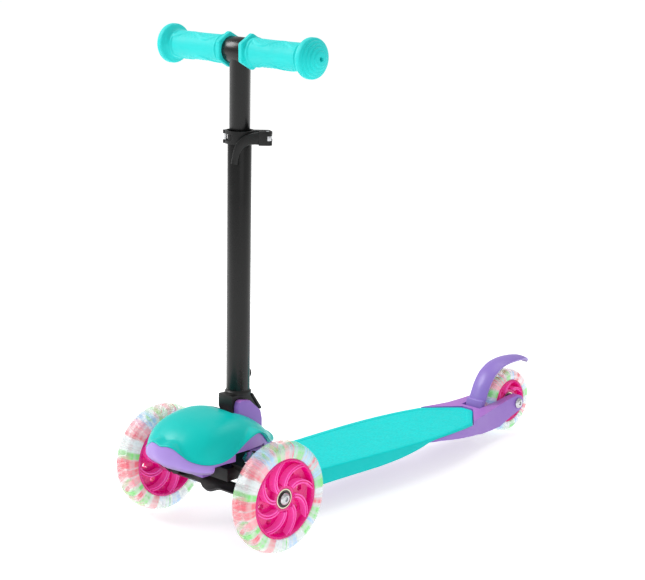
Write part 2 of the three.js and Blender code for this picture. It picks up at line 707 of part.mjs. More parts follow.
function noseBumper() {
  const side = (angle) => THREE.MathUtils.smoothstep(angle, 52, 70);
  const levels = [
    { down: 0, grow: 0 }, { down: 12, grow: 0 }, { down: 22, grow: -3 }, { down: 30, grow: -12 },
    { down: 33, grow: -22 },
  ];
  const wall = 3;
  const bottomAt = (angle) => THREE.MathUtils.lerp(nose.base - 2, nose.base + 1, side(angle));
  const ringAt = (level, inset) =>
    noseRing(
      (angle) => THREE.MathUtils.lerp(level.grow - inset, -nose.wall - 2 * fit - inset, side(angle)),
      (angle) => {
        const top = hoodEdge(angle) - fit - 0.2;
        const share = level.down / 33;
        return THREE.MathUtils.lerp(top, bottomAt(angle) + (inset ? 0.6 * wall * share : 0), share);
      },
    );
  const outer = levels.map((level) => ringAt(level, 0));
  const inner = levels.map((level) => ringAt(level, wall)).reverse();
  const band = skin([...outer, ...inner], "loop");
  const openings = [-1, 1].map((end) => {
    const [from, to] = [end * 35, end * 80].sort((a, b) => a - b);
    return join(box(from, to, -24, 22, 60, 103.5), box(from, to, -50, -23, 60, 95));
  });
  const rearGap = box(-26, 26, 40, 90, 60, bracket.floor + 2);
  return cut(band, ...openings, rearGap);
}

// ---------------------------------------------------------------- stem bracket and folding stem
function stemBracket() {
  const profile = shapeOf([
    [bracket.front, bracket.bottom], [bracket.rear, bracket.bottom], [bracket.rear + 0.3, 118.2],
    [46.2, 127.7], [30.7, 142], [19, 144], [15.5, 142.5], [13.5, 137], [13.5, 112], [bracket.front, 104],
  ]);
  const slot = box(-ear.inner, ear.inner, bracket.front - 5, bracket.rear + 5, bracket.floor, 160);
  const setBack = box(-ear.outer - 1, -ear.inner, bracket.front - 1, ear.rightFront, bracket.floor, 160);
  const pinRoom = rod(foldPivot.pin + fit, -30, ear.outer - ear.cap, "x");
  const bore = pinRoom.translate(0, foldPivot.y, foldPivot.z);
  return cut(acrossX(profile, -ear.outer, ear.outer), slot, setBack, bore);
}

function foldPinPiece() {
  return rod(foldPivot.pin, -ear.outer, ear.outer - ear.cap - fit, "x");
}

// The stem is made about the fold pivot, with the tube along z.
const stemZ = (z) => z - foldPivot.z;

function foldBlock() {
  const profile = shapeOf([
    [-18.5, stemZ(collarHeight.seat)], [-18.5, 10], [-14, 2], [-13, -8], [0, -15], [13, -8], [15, 0],
    [20, 4], [8.4, 21.2], [8.4, stemZ(collarHeight.seat)],
  ]);
  const { radius, bottom, seat, top } = collarHeight;
  const body = acrossX(profile, -ear.inner + fit, ear.inner - fit);
  const plug = lowerTube.bore - fit;
  const plugTop = stemZ(seat) + 9.5;
  const socket = turned(
    [
      [0, stemZ(bottom)], [radius, stemZ(bottom)], [radius, stemZ(top) - 2], [radius - 2.2, stemZ(top)],
      [lowerTube.radius + fit, stemZ(top)], [lowerTube.radius + fit, stemZ(seat)],
      [plug, stemZ(seat)], [plug - 1, plugTop], [0, plugTop],
    ],
    28,
    "z",
  );
  return cut(join(body, socket), rod(foldPivot.pin + fit, -30, 30, "x"));
}

function foldLatch() {
  const profile = shapeOf([[10.4, 20.9], [12.6, 22.3], [25.6, 4.2], [25.2, 2.4], [22.8, 2.3]]);
  return acrossX(profile, -ear.inner + 2 * fit, ear.inner - 2 * fit);
}

function lowerTubePiece() {
  const bottom = stemZ(collarHeight.seat) + fit;
  const made = ring(lowerTube.bore, lowerTube.radius, bottom, stemZ(lowerTube.top), "z", 28);
  const buttonHole = rod(button.radius + fit, 0, 30, "y", 20).translate(0, 0, stemZ(button.z));
  const slit = box(0, 30, -1, 1, stemZ(lowerTube.top) - 22, stemZ(lowerTube.top) + 1);
  return cut(made, buttonHole, slit.rotate([0, 0, clampTurn / degree]));
}

function releaseButton() {
  const outer = lowerTube.radius + button.proud;
  const inner = lowerTube.bore - 2.6;
  const profile = [
    [0, inner], [button.radius - 1, inner], [button.radius, inner + 1],
    [button.radius, outer - 1], [button.radius - 1.4, outer], [0, outer],
  ];
  return turned(profile, 20, "y").translate(0, 0, stemZ(button.z));
}

// ---------------------------------------------------------------- clamp
// The clamp is made about the tube's axis with its ears towards +x; z = 0 is its middle.
function clampHalf(front) {
  const { halfHeight, bore, radius, earFrom, earTo, earOut, split } = clamp;
  const collar = ring(bore, radius, -halfHeight, halfHeight, "z", 28);
  const earShape = new THREE.Shape();
  earShape.moveTo(earFrom, -halfHeight);
  earShape.lineTo(earTo - halfHeight + 2, -halfHeight);
  earShape.absarc(earTo - halfHeight + 2, 0, halfHeight, -90 * degree, 90 * degree, false);
  earShape.lineTo(earFrom, halfHeight);
  earShape.closePath();
  const upEar = solid(
    new THREE.ExtrudeGeometry(earShape, plain(2 * earOut)).rotateX(Math.PI / 2).translate(0, earOut, 0),
  );
  const earCap = box(0, earTo, -20, 20, -20, 20);
  const notch = join(
    box(clampBolt.x, 60, -20, 20, -clampBolt.notch, clampBolt.notch),
    rod(clampBolt.notch, -20, 20, "y").translate(clampBolt.x, 0, 0),
  );
  const loopAt = -clamp.radius + 1;
  const loop = rod(3, -halfHeight, halfHeight, "z", 14).translate(loopAt, 0, 0);
  const middleGap = box(-40, -8, -20, 20, -3.4, 3.4);
  const tubeRoom = rod(bore, -20, 20, "z", 28);
  const pinHole = rod(hingePinRadius + fit, -20, 20, "z", 12).translate(loopAt, 0, 0);
  const whole = cut(join(collar, upEar.intersect(earCap)), notch);
  const keep = front ? box(-40, 40, -40, -split, -20, 20) : box(-40, 40, split, 40, -20, 20);
  const ownLoop = front ? box(-40, 0, -20, 20, 3.4, 20) : box(-40, 0, -20, 20, -20, -3.4);
  const otherLoop = front ? box(-40, -9, -3.4, 3.4, -20, -3.1) : box(-40, -9, -3.4, 3.4, 3.1, 20);
  const half = join(whole.intersect(keep).subtract(otherLoop), loop.intersect(ownLoop));
  return cut(half, middleGap, tubeRoom, pinHole);
}

const hingePinRadius = 1.5;

function hingePin() {
  const { halfHeight, radius } = clamp;
  return rod(hingePinRadius, -halfHeight - 0.6, halfHeight + 0.6, "z", 12).translate(1 - radius, 0, 0);
}

function clampBoltPiece() {
  const { x, radius, eye, eyeHalf, pinY, pin } = clampBolt;
  const shank = rod(radius, pinY, clamp.earOut + 7, "y", 14);
  const eyeRing = rod(eye, -eyeHalf, eyeHalf, "z", 20).translate(0, pinY, 0);
  const room = rod(pin + fit, -10, 10, "z", 12).translate(0, pinY, 0);
  return cut(join(shank, eyeRing), room).translate(x, 0, 0);
}

function clampNut() {
  const { x, radius } = clampBolt;
  const { earOut } = clamp;
  return cut(
    rod(radius + 2.6, earOut + fit, earOut + 5.3, "y", 6),
    rod(radius + fit, 0, 30, "y", 14),
  ).translate(x, 0, 0);
}

function leverPin() {
  const { x, pinY, pin } = clampBolt;
  return rod(pin, -lever.reach - 0.4, lever.reach + 0.4, "z", 12).translate(x, pinY, 0);
}

// The lever: two prongs on the pin, one arm round the near side of the tube that curls down.
function clampLever() {
  const { x, pinY, eyeHalf, pin } = clampBolt;
  const { prong, reach, tipX, tipZ } = lever;
  const head = join(
    rod(prong, -reach, reach, "z", 20).translate(x, pinY, 0),
    box(x - 9, x, pinY - prong, pinY + prong - 1.2, -reach, reach),
  );
  const near = -clamp.radius - 2.3; // the face of the clamp that the arm lies against
  const path = new THREE.CatmullRomCurve3([
    new THREE.Vector3(x - 7, pinY - 0.8, 0),
    new THREE.Vector3(x - 14, pinY - 4.6, 0),
    new THREE.Vector3(8, near - 1.1, -1.5),
    new THREE.Vector3(1, near - 1.5, -7),
    new THREE.Vector3(tipX + 1.8, near - 1, -16),
    new THREE.Vector3(tipX, near, tipZ),
  ]);
  const steps = 12;
  const rings = Array.from({ length: steps + 1 }, (_, i) => {
    const t = i / steps;
    const centre = path.getPointAt(t);
    const along = path.getTangentAt(t);
    const outward = new THREE.Vector3(0, -1, 0);
    outward.addScaledVector(along, -outward.dot(along)).normalize();
    const across = new THREE.Vector3().crossVectors(along, outward).normalize();
    const halfTall = THREE.MathUtils.lerp(reach - 0.3, 3.4, Math.min(1, t * 1.3));
    const halfThick = THREE.MathUtils.lerp(2.6, 1.7, t);
    return Array.from({ length: 12 }, (_, k) => {
      const angle = (k / 12) * 2 * Math.PI;
      const square = (value) => Math.sign(value) * Math.abs(value) ** 0.6;
      return centre
        .clone()
        .addScaledVector(across, halfTall * square(Math.cos(angle)))
        .addScaledVector(outward, halfThick * square(Math.sin(angle)));
    });
  });
  const arm = skin(rings, "fans");
  const eyeRoom = join(
    rod(clampBolt.eye + 0.8, -eyeHalf - fit, eyeHalf + fit, "z", 20).translate(x, pinY, 0),
    box(x - 2.4, x + 20, pinY - 0.5, 20, -eyeHalf - fit, eyeHalf + fit),
  );
  const pinRoom = rod(pin + fit, -20, 20, "z", 12).translate(x, pinY, 0);
  return cut(join(head, arm), eyeRoom, pinRoom, rod(clamp.radius + 0.6, -40, 40, "z", 28));
}

function clampSet() {
  const made = group(
    mesh("clamp_front", clampHalf(true), blackPlastic),
    mesh("clamp_rear", clampHalf(false), blackPlastic),
    mesh("clamp_hinge_pin", hingePin(), steel),
    mesh("clamp_bolt", clampBoltPiece(), steel),
    mesh("clamp_nut", clampNut(), steel),
    mesh("lever_pin", leverPin(), steel),
    mesh("clamp_lever", clampLever(), blackPlastic),
  );
  made.position.z = stemZ(clamp.z);
  made.rotation.z = clampTurn;
  return made;
}

// ---------------------------------------------------------------- handlebar
function barTube() {
  const bar = stemZ(barHeight);
  const upright = ring(upperTube.bore, upperTube.radius, stemZ(upperTube.bottom), bar - 10, "z", 28);
  const sleeve = rod(tSleeve.radius, -tSleeve.halfLength, tSleeve.halfLength, "x", 28).translate(0, 0, bar);
  const cross = rod(barRadius, -grip.flangeEnd, grip.flangeEnd, "x", 24).translate(0, 0, bar);
  const neck = rod(upperTube.radius, bar - 14, bar - 5, "z", 28);
  const bore = [-1, 1].map((end) => {
    const [from, to] = [end * tSleeve.halfLength, end * (grip.flangeEnd + 5)].sort((a, b) => a - b);
    return rod(barRadius - 1.5, from, to, "x", 24).translate(0, 0, bar);
  });
  return cut(join(upright, neck, sleeve, cross), ...bore);
}

function gripPiece(side) {
  const { start, end, body, flange, flangeAt, flangeEnd, bore } = grip;
  const profile = [
    [bore, start], [body + 2.6, start], [body + 2.6, start + 6], [body, start + 7], [body - 0.4, 60],
    [body, flangeAt - 4], [flange - 1.4, flangeAt], [flange, flangeAt + 2], [flange, flangeEnd - 2],
    [flange - 3, flangeEnd + 2], [flange - 9, end - 3], [flange - 15, end], [2.25, end],
    [2.25, flangeEnd + 1.5], [bore, flangeEnd + 1.5],
  ];
  const made = turned(profile, 20, "x");
  const placed = side === "left" ? made : made.mirror([1, 0, 0]);
  return mesh("grip_" + side, placed.translate(0, 0, stemZ(barHeight)), gripRubber);
}

// ---------------------------------------------------------------- brake fender
function brakeFender() {
  const { pivotY, pivotZ, wall, halfWidth, drop } = fender;
  const crown = new THREE.CatmullRomCurve3(
    [
      [pivotY, pivotZ + 11.5], [pivotY + 4.5, 56.5], [pivotY + 11.8, 70.8], [pivotY + 20.8, 81.8],
      [pivotY + 30, 88], [pivotY + 42, 92.8], [pivotY + 61.1, 95], [pivotY + 82, 93.3],
      [fenderTip.y - 8, fenderTip.z + 7], [fenderTip.y, fenderTip.z],
    ].map(([y, z]) => new THREE.Vector3(0, y, z)),
  );
  const stations = 16;
  const across = 6;
  const rings = Array.from({ length: stations + 1 }, (_, i) => {
    const t = i / stations;
    const centre = crown.getPointAt(t);
    const along = crown.getTangentAt(t);
    const inward = new THREE.Vector3(0, along.z, -along.y);
    const taper = Math.max(0, (t - 0.66) / 0.34);
    const half = halfWidth * Math.sqrt(1 - 0.93 * taper * taper);
    const thick = THREE.MathUtils.lerp(wall, 1.8, taper);
    const row = (depth) =>
      Array.from({ length: across + 1 }, (_, k) => {
        const s = (2 * k) / across - 1;
        const fall = drop * (half / halfWidth) ** 2 * s * s + depth;
        return centre.clone().addScaledVector(inward, fall).add(new THREE.Vector3(s * half, 0, 0));
      });
    return [...row(0), ...row(thick).reverse()];
  });
  const shell = skin(rings, "strips");
  const inside = fork.slot - 2 * fit;
  const foot = acrossX(
    shapeOf([
      [pivotY - 5, pivotZ], [pivotY + 5, pivotZ], [pivotY + 4.6, 46], [pivotY + 5.2, 52],
      [pivotY + 1, 52], [pivotY - 3.4, 42],
    ]),
    -inside,
    inside,
  );
  const springFrom = 3.5;
  const barrel = rod(6, -inside, springFrom, "x").translate(0, pivotY, pivotZ);
  const springRoom = rod(7.4, springFrom, 40, "x").translate(0, pivotY, pivotZ);
  const bore = rod(fender.pin + fit, -60, 60, "x").translate(0, pivotY, pivotZ);
  return cut(join(shell, foot, barrel), springRoom, bore);
}

function fenderPin() {
  return rod(fender.pin, -fenderPinHalf, fenderPinHalf, "x").translate(0, fender.pivotY, fender.pivotZ);
}

function fenderSpring() {
  const made = coil(fender.pin + 1.6, 1.6, 2, 4, 4.8);
  return made.rotate([0, 90, 0]).translate(0, fender.pivotY, fender.pivotZ);
}

// ---------------------------------------------------------------- assembly
const chassis = group(
  mesh("chassis_frame", chassisFrame(), purple),
  mesh("deck_cover", deckCover(), deckTurquoise),
  mesh("nose_cover", noseCover(), turquoise),
  mesh("nose_bumper", noseBumper(), purple),
  mesh("stem_bracket", stemBracket(), purple),
  mesh("truck_beam", truckBeam(), blackPlastic),
  kingBolt("left"),
  kingBolt("right"),
  mesh("fender_pin", fenderPin(), steel),
  mesh("fender_spring", fenderSpring(), steel),
  ...deckScrewPlaces.map((place, index) => mesh("deck_screw_" + (index + 1), deckScrewPiece(place), steel)),
);

const steering = group(knuckleSet("left"), knuckleSet("right"), tieRodBar());

function placed(made, x, y, z) {
  made.position.set(x, y, z);
  return made;
}

const wheels = group(
  placed(wheelSet("front_left", frontWheel), halfTrack, 0, frontWheel.radius),
  placed(wheelSet("front_right", frontWheel), -halfTrack, 0, frontWheel.radius),
  placed(wheelSet("rear", rearWheel), 0, wheelbase, rearWheel.radius),
);

const rearAxleEnd = fork.halfWidthAtAxle + fit;
const rearAxle = placed(
  group(
    mesh("rear_axle_bolt", buttonBolt(2 * rearAxleEnd + 8).translate(rearAxleEnd, 0, 0), steel),
    mesh(
      "rear_axle_nut",
      cut(rod(7.4, -rearAxleEnd - 6, -rearAxleEnd, "x", 6), rod(axleRadius + fit, -60, 60, "x")),
      steel,
    ),
    mesh("rear_magnet_spacer", magnetSpacer(), blackPlastic),
  ),
  0,
  wheelbase,
  rearWheel.radius,
);

const stem = group(
  mesh("fold_block", foldBlock(), blackPlastic),
  mesh("fold_latch", foldLatch(), blackPlastic),
  mesh("lower_tube", lowerTubePiece(), blackPaint),
  mesh("release_button", releaseButton(), blackPlastic),
  clampSet(),
  mesh("bar_tube", barTube(), blackPaint),
  gripPiece("left"),
  gripPiece("right"),
);
stem.position.set(0, foldPivot.y, foldPivot.z);
stem.rotation.x = -stemLean;

const foldPin = placed(mesh("fold_pin", foldPinPiece(), steel), 0, foldPivot.y, foldPivot.z);
const fenderPiece = mesh("brake_fender", brakeFender(), fenderPurple);

const model = group(chassis, steering, wheels, rearAxle, foldPin, stem, fenderPiece);
model.position.y = -(nose.front + fenderTip.y) / 2;

export default group(model);
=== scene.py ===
"""A child's three-wheeled kick scooter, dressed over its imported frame.

Sizes in the tables below are in millimetres in the frame's own axes: +Z up, the scooter faces
-Y and +X is the rider's left. Each operator makes one piece or one group of like pieces.
"""

import json
import math

import bmesh
import bpy
from bpy.props import FloatProperty, FloatVectorProperty, IntProperty, PointerProperty
from mathutils import Matrix, Vector


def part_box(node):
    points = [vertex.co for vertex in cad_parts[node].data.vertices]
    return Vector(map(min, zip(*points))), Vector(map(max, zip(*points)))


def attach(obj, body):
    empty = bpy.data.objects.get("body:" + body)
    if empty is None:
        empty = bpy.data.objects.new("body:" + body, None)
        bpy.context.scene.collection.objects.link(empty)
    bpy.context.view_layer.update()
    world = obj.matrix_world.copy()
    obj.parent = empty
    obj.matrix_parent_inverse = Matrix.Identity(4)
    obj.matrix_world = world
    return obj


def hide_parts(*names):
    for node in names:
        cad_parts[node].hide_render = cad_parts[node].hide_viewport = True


bl_info = {
    "name": "Kick Scooter",
    "version": (1, 0, 0),
    "blender": (4, 5, 0),
    "location": "View3D > Sidebar > Scooter",
    "description": "Models and finishes a child's three-wheeled kick scooter",
    "category": "Add Mesh",
}

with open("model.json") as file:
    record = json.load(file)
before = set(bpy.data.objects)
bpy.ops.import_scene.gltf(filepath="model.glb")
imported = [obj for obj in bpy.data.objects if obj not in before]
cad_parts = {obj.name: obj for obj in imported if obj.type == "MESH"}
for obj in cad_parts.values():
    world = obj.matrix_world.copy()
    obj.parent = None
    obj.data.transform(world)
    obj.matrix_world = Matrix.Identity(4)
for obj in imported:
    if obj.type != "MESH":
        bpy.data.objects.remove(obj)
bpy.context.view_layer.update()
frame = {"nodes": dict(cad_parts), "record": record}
MM = 0.001
FIT = 0.3
BODY_OF = {node: body for body, nodes in frame["record"]["behaviour"]["bodies"].items() for node in nodes}
SLOT_OF = {part["node"]: part["material_slot"] for part in frame["record"]["subparts"]}
WHEELS = ("front_left", "front_right", "rear")
SHARP_FROM = 38  # degrees between two faces from which their edge is drawn sharp


# ---------------------------------------------------------------- places on the frame
def low_high(node):
    """A node's lowest and highest corners, in millimetres."""
    low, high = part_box(node)
    return Vector(low) / MM, Vector(high) / MM


def middle(node):
    low, high = low_high(node)
    return (low + high) / 2


def smooth_step(value, start, end):
    t = min(1.0, max(0.0, (value - start) / (end - start)))
    return t * t * (3 - 2 * t)


def between(points, at):
    """The height of a line through (place, value) points, rounded at each point."""
    places = [p for p, _ in points]
    values = [v for _, v in points]
    if at <= places[0]:
        return values[0]
    if at >= places[-1]:
        return values[-1]
    i = max(k for k, p in enumerate(places) if p <= at)
    i = min(i, len(points) - 2)

    def slope(k):
        k0, k1 = max(0, k - 1), min(len(points) - 1, k + 1)
        return (values[k1] - values[k0]) / (places[k1] - places[k0])

    span = places[i + 1] - places[i]
    t = (at - places[i]) / span
    a, b = slope(i) * span, slope(i + 1) * span
    t2, t3 = t * t, t * t * t
    return (
        (2 * t3 - 3 * t2 + 1) * values[i]
        + (t3 - 2 * t2 + t) * a
        + (3 * t2 - 2 * t3) * values[i + 1]
        + (t3 - t2) * b
    )


# ---------------------------------------------------------------- shaping helpers
def resize(bm, factor):
    bmesh.ops.scale(bm, vec=(factor, factor, factor), verts=bm.verts)


def add_object(name, bm):
    """Puts a bmesh into the scene as a new object, and frees it."""
    mesh = bpy.data.meshes.new(name)
    bm.to_mesh(mesh)
    bm.free()
    made = bpy.data.objects.new(name, mesh)
    bpy.context.scene.collection.objects.link(made)
    return made


def shade(mesh, smooth):
    """Smooth shading, with edges sharper than an angle left sharp."""
    mesh.shade_smooth()
    mesh.set_sharp_from_angle(angle=math.radians(smooth))


def bevel_edges(bm, edges, width, segments):
    bmesh.ops.bevel(
        bm, geom=edges, offset=width, offset_type="OFFSET", segments=segments, profile=0.5,
        affect="EDGES", material=-1, clamp_overlap=True,
    )


def ring_edges(bm, verts):
    return [bm.edges.get(pair) for pair in zip(verts, verts[1:] + verts[:1])]


def put(verts, points):
    for vert, point in zip(verts, points):
        vert.co = Vector(point)


def loft(bm, rings, closed=False, capped=False):
    """Carries a ring of edges through rings of points, one extrusion for each ring."""
    verts = bmesh.ops.create_circle(bm, cap_ends=False, segments=len(rings[0]), radius=1)["verts"]
    first = verts
    put(verts, rings[0])
    for ring in rings[1:]:
        geom = bmesh.ops.extrude_edge_only(bm, edges=ring_edges(bm, verts))["geom"]
        fresh = {g for g in geom if isinstance(g, bmesh.types.BMVert)}
        verts = [next(e.other_vert(v) for e in v.link_edges if e.other_vert(v) in fresh) for v in verts]
        put(verts, ring)
    if closed:
        bmesh.ops.bridge_loops(bm, edges=ring_edges(bm, verts) + ring_edges(bm, first))
    if capped:
        bmesh.ops.contextual_create(bm, geom=verts)


def turned(bm, profile, centre, segments=64, mat=0):
    """Turns a closed profile of (radius, place along the axis) points about the X axis."""
    centre = Vector(centre)
    verts = [bm.verts.new(centre + Vector((at, 0, r))) for r, at in profile]
    edges = [bm.edges.new(pair) for pair in zip(verts, verts[1:] + verts[:1])]
    before = set(bm.faces)
    bmesh.ops.spin(
        bm, geom=verts + edges, cent=centre, axis=(1, 0, 0), dvec=(0, 0, 0), angle=2 * math.pi,
        steps=segments, use_merge=True,
    )
    made = [f for f in bm.faces if f not in before]
    for face in made:
        face.material_index = mat
    corners = list({v for f in made for v in f.verts})
    bmesh.ops.remove_doubles(bm, verts=corners, dist=1e-4)
    made = [f for f in bm.faces if f not in before]
    bmesh.ops.recalc_face_normals(bm, faces=made)


def strap(bm, place, low, high, steps, mat=0, round_by=0.0):
    """A bar whose plan is given by place(t, side), raised from one height to another.

    place returns a point for t from 0 to 1 along the bar and side -1 or 1, at a given height.
    """
    grid = bmesh.ops.create_grid(bm, x_segments=steps, y_segments=1, size=1)["verts"]
    for vert in grid:
        vert.co = Vector(place((vert.co.x + 1) / 2, vert.co.y, low))
    faces = list({f for v in grid for f in v.link_faces})
    geom = bmesh.ops.extrude_face_region(bm, geom=faces)["geom"]
    lift = Vector(place(0.5, 0, high)) - Vector(place(0.5, 0, low))
    top = [g for g in geom if isinstance(g, bmesh.types.BMVert)]
    bmesh.ops.translate(bm, verts=top, vec=lift)
    made = list({f for v in grid + top for f in v.link_faces})
    bmesh.ops.recalc_face_normals(bm, faces=made)
    for face in made:
        face.material_index = mat
    if round_by:
        caps = {g for g in geom if isinstance(g, bmesh.types.BMFace)}
        rim = [e for f in caps for e in f.edges if sum(n in caps for n in e.link_faces) == 1]
        bevel_edges(bm, list(set(rim)), round_by, 3)


def block(bm, low, high):
    """A box between two corners."""
    low, high = Vector(low), Vector(high)
    size = Matrix.Diagonal((*(high - low), 1))
    bmesh.ops.create_cube(bm, size=1, matrix=Matrix.Translation((low + high) / 2) @ size)


def round_edges(bm, width, angle=32, segments=3, faces=None):
    """Rounds every edge sharper than an angle."""
    pool = bm.edges if faces is None else {e for f in faces for e in f.edges}
    sharp = [e for e in pool if e.is_manifold and e.calc_face_angle(0) > math.radians(angle)]
    bevel_edges(bm, sharp, width, segments)


def piece(name, bm, finishes, node, smooth=SHARP_FROM, body=None):
    """Makes a named piece from a bmesh in millimetres, in place of one or more frame nodes."""
    nodes = (node,) if isinstance(node, str) else tuple(node)
    resize(bm, MM)
    made = add_object(name, bm)
    for finish in finishes:
        made.data.materials.append(finish)
    shade(made.data, smooth)
    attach(made, body or BODY_OF[nodes[0]])
    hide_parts(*nodes)
    return made


def settle(made):
    """Gives a piece the mesh that its modifiers make, and clears them."""
    bpy.context.view_layer.update()
    graph = bpy.context.evaluated_depsgraph_get()
    mesh = bpy.data.meshes.new_from_object(made.evaluated_get(graph))
    made.modifiers.clear()
    made.data = mesh
    shade(mesh, SHARP_FROM)


def carve(made, cutter_bm, rounded=0.0):
    """Cuts a bmesh of closed shapes, in millimetres, out of a piece and rounds the cut edges."""
    bmesh.ops.recalc_face_normals(cutter_bm, faces=cutter_bm.faces)
    resize(cutter_bm, MM)
    cutter = add_object("cutter", cutter_bm)
    cut = made.modifiers.new("cut", "BOOLEAN")
    cut.operation, cut.solver, cut.object, cut.use_self = "DIFFERENCE", "EXACT", cutter, True
    if rounded:
        bevel = made.modifiers.new("bevel", "BEVEL")
        bevel.width, bevel.segments, bevel.limit_method = rounded * MM, 2, "ANGLE"
        bevel.angle_limit, bevel.use_clamp_overlap = math.radians(40), True
    settle(made)
    mesh = cutter.data
    bpy.data.objects.remove(cutter)
    bpy.data.meshes.remove(mesh)


def rounded_copy(name, node, finish, width, angle=32, segments=2):
    """A copy of a frame node with its facets joined and its edges rounded."""
    bm = bmesh.new()
    bm.from_mesh(frame["nodes"][node].data)
    resize(bm, 1 / MM)
    bmesh.ops.remove_doubles(bm, verts=bm.verts, dist=0.004)
    bmesh.ops.dissolve_limit(bm, angle_limit=math.radians(1.0), verts=bm.verts, edges=bm.edges)
    for face in bm.faces:
        face.material_index = 0
    round_edges(bm, width, angle, segments)
    piece(name, bm, [finish], node)


def finish_node(node, finish):
    """Gives a frame node that is kept as it is its finish."""
    materials = frame["nodes"][node].data.materials
    materials.clear()
    materials.append(finish)


# ---------------------------------------------------------------- finishes
class Finish:
    """Builds one material's nodes around its Principled shader."""

    def __init__(self, name):
        self.material = bpy.data.materials.new(name)
        self.material.use_nodes = True
        self.tree = self.material.node_tree
        self.shader = self.tree.nodes["Principled BSDF"]
        self.place = self.node("ShaderNodeTexCoord").outputs["Object"]

    def node(self, kind, links=(), **values):
        made = self.tree.nodes.new(kind)
        for key, value in values.items():
            setattr(made, key, value)
        for socket, source in dict(links).items():
            if isinstance(source, bpy.types.NodeSocket):
                self.tree.links.new(source, made.inputs[socket])
            else:
                made.inputs[socket].default_value = source
        return made

    def set(self, **values):
        for key, value in values.items():
            self.shader.inputs[key.replace("_", " ")].default_value = value
        return self

    def drive(self, socket, source):
        self.tree.links.new(source, self.shader.inputs[socket])
        return self

    def noise(self, scale, detail=2.0, roughness=0.5, vector=None):
        links = {"Vector": vector or self.place, "Scale": scale, "Detail": detail, "Roughness": roughness}
        return self.node("ShaderNodeTexNoise", links).outputs["Fac"]

    def mix(self, share, first, second):
        links = {"Factor": share, "A": first, "B": second}
        made = self.tree.nodes.new("ShaderNodeMix")
        made.data_type = "RGBA"
        slots = {"Factor": 0, "A": 6, "B": 7}
        for key, source in links.items():
            socket = made.inputs[slots[key]]
            if isinstance(source, bpy.types.NodeSocket):
                self.tree.links.new(source, socket)
            else:
                socket.default_value = source
        return made.outputs[2]

    def span(self, value, low, high, to_low, to_high, smooth=False):
        links = {"Value": value, "From Min": low, "From Max": high, "To Min": to_low, "To Max": to_high}
        made = self.node("ShaderNodeMapRange", links)
        made.interpolation_type = "SMOOTHSTEP" if smooth else "LINEAR"
        return made.outputs["Result"]

    def gloss(self, noise, low, high):
        """Roughness between two values, by a noise."""
        return self.drive("Roughness", self.span(noise, 0.3, 0.7, low, high))

    def grain(self, noise, strength, distance_mm):
        return self.drive("Normal", self.bump(noise, strength, distance_mm))

    def math(self, operation, first, second=0.0):
        made = self.node("ShaderNodeMath", operation=operation)
        for index, source in enumerate((first, second)):
            if isinstance(source, bpy.types.NodeSocket):
                self.tree.links.new(source, made.inputs[index])
            else:
                made.inputs[index].default_value = source
        return made.outputs[0]

    def bump(self, height, strength, distance_mm, over=None):
        links = {"Height": height, "Strength": strength, "Distance": distance_mm * MM}
        if over is not None:
            links["Normal"] = over
        return self.node("ShaderNodeBump", links).outputs["Normal"]


def tinted(colour, factor):
    return tuple(min(1.0, c * factor) for c in colour[:3]) + (1.0,)


def grey(level):
    return (level, level, level, 1.0)


MADE = {}


def once(builder):
    """Makes each finish once, and gives the same material to every piece that asks for it."""

    def wrapper(*args):
        key = (builder.__name__, *args)
        if key not in MADE:
            MADE[key] = builder(*args)
        return MADE[key]

    return wrapper


def colours():
    return bpy.context.scene.scooter_colours


def sizes():
    return bpy.context.scene.scooter_sizes


@once
def moulded_plastic(name, colour_name, roughness, grain):
    """Injection-moulded plastic: a faint cloudiness, a fine grain and a soft gloss."""
    colour = tuple(getattr(colours(), colour_name))
    look = Finish(name)
    cloud = look.noise(14.0, 3.0)
    look.drive("Base Color", look.mix(cloud, tinted(colour, 0.93), tinted(colour, 1.06)))
    fine = look.noise(900.0, 2.0)
    look.gloss(look.noise(60.0, 4.0), roughness - 0.05, roughness + 0.07)
    look.grain(fine, grain, 0.25)
    look.set(Specular_IOR_Level=0.22)
    return look.material


@once
def painted_light_plastic(name, colour_name, painted_light_top_name, roughness):
    """Moulded plastic with painted light: its upward faces take a lighter top colour as a painted highlight,
    and its underside is darkened as painted shade.
    """
    colour, top = tuple(getattr(colours(), colour_name)), tuple(getattr(colours(), painted_light_top_name))
    look = Finish(name)
    normal = look.node("ShaderNodeNewGeometry").outputs["Normal"]
    up = look.node("ShaderNodeSeparateXYZ", {"Vector": normal}).outputs["Z"]
    # Painted shade: downward faces darken towards 0.4 of the colour.
    base = look.mix(look.span(up, -0.95, -0.4, 1.0, 0.0, smooth=True), colour + (1.0,), tinted(colour, 0.4))
    # Painted light: upward faces blend into the lighter top colour.
    base = look.mix(look.span(up, 0.35, 0.95, 0.0, 1.0, smooth=True), base, top + (1.0,))
    cloud = look.span(look.noise(16.0, 3.0), 0.3, 0.7, 0.0, 0.12)
    look.drive("Base Color", look.mix(cloud, base, tinted(colour, 0.8)))
    look.gloss(look.noise(70.0, 4.0), roughness - 0.05, roughness + 0.07)
    look.grain(look.noise(800.0, 2.0), 0.12, 0.25)
    return look.material


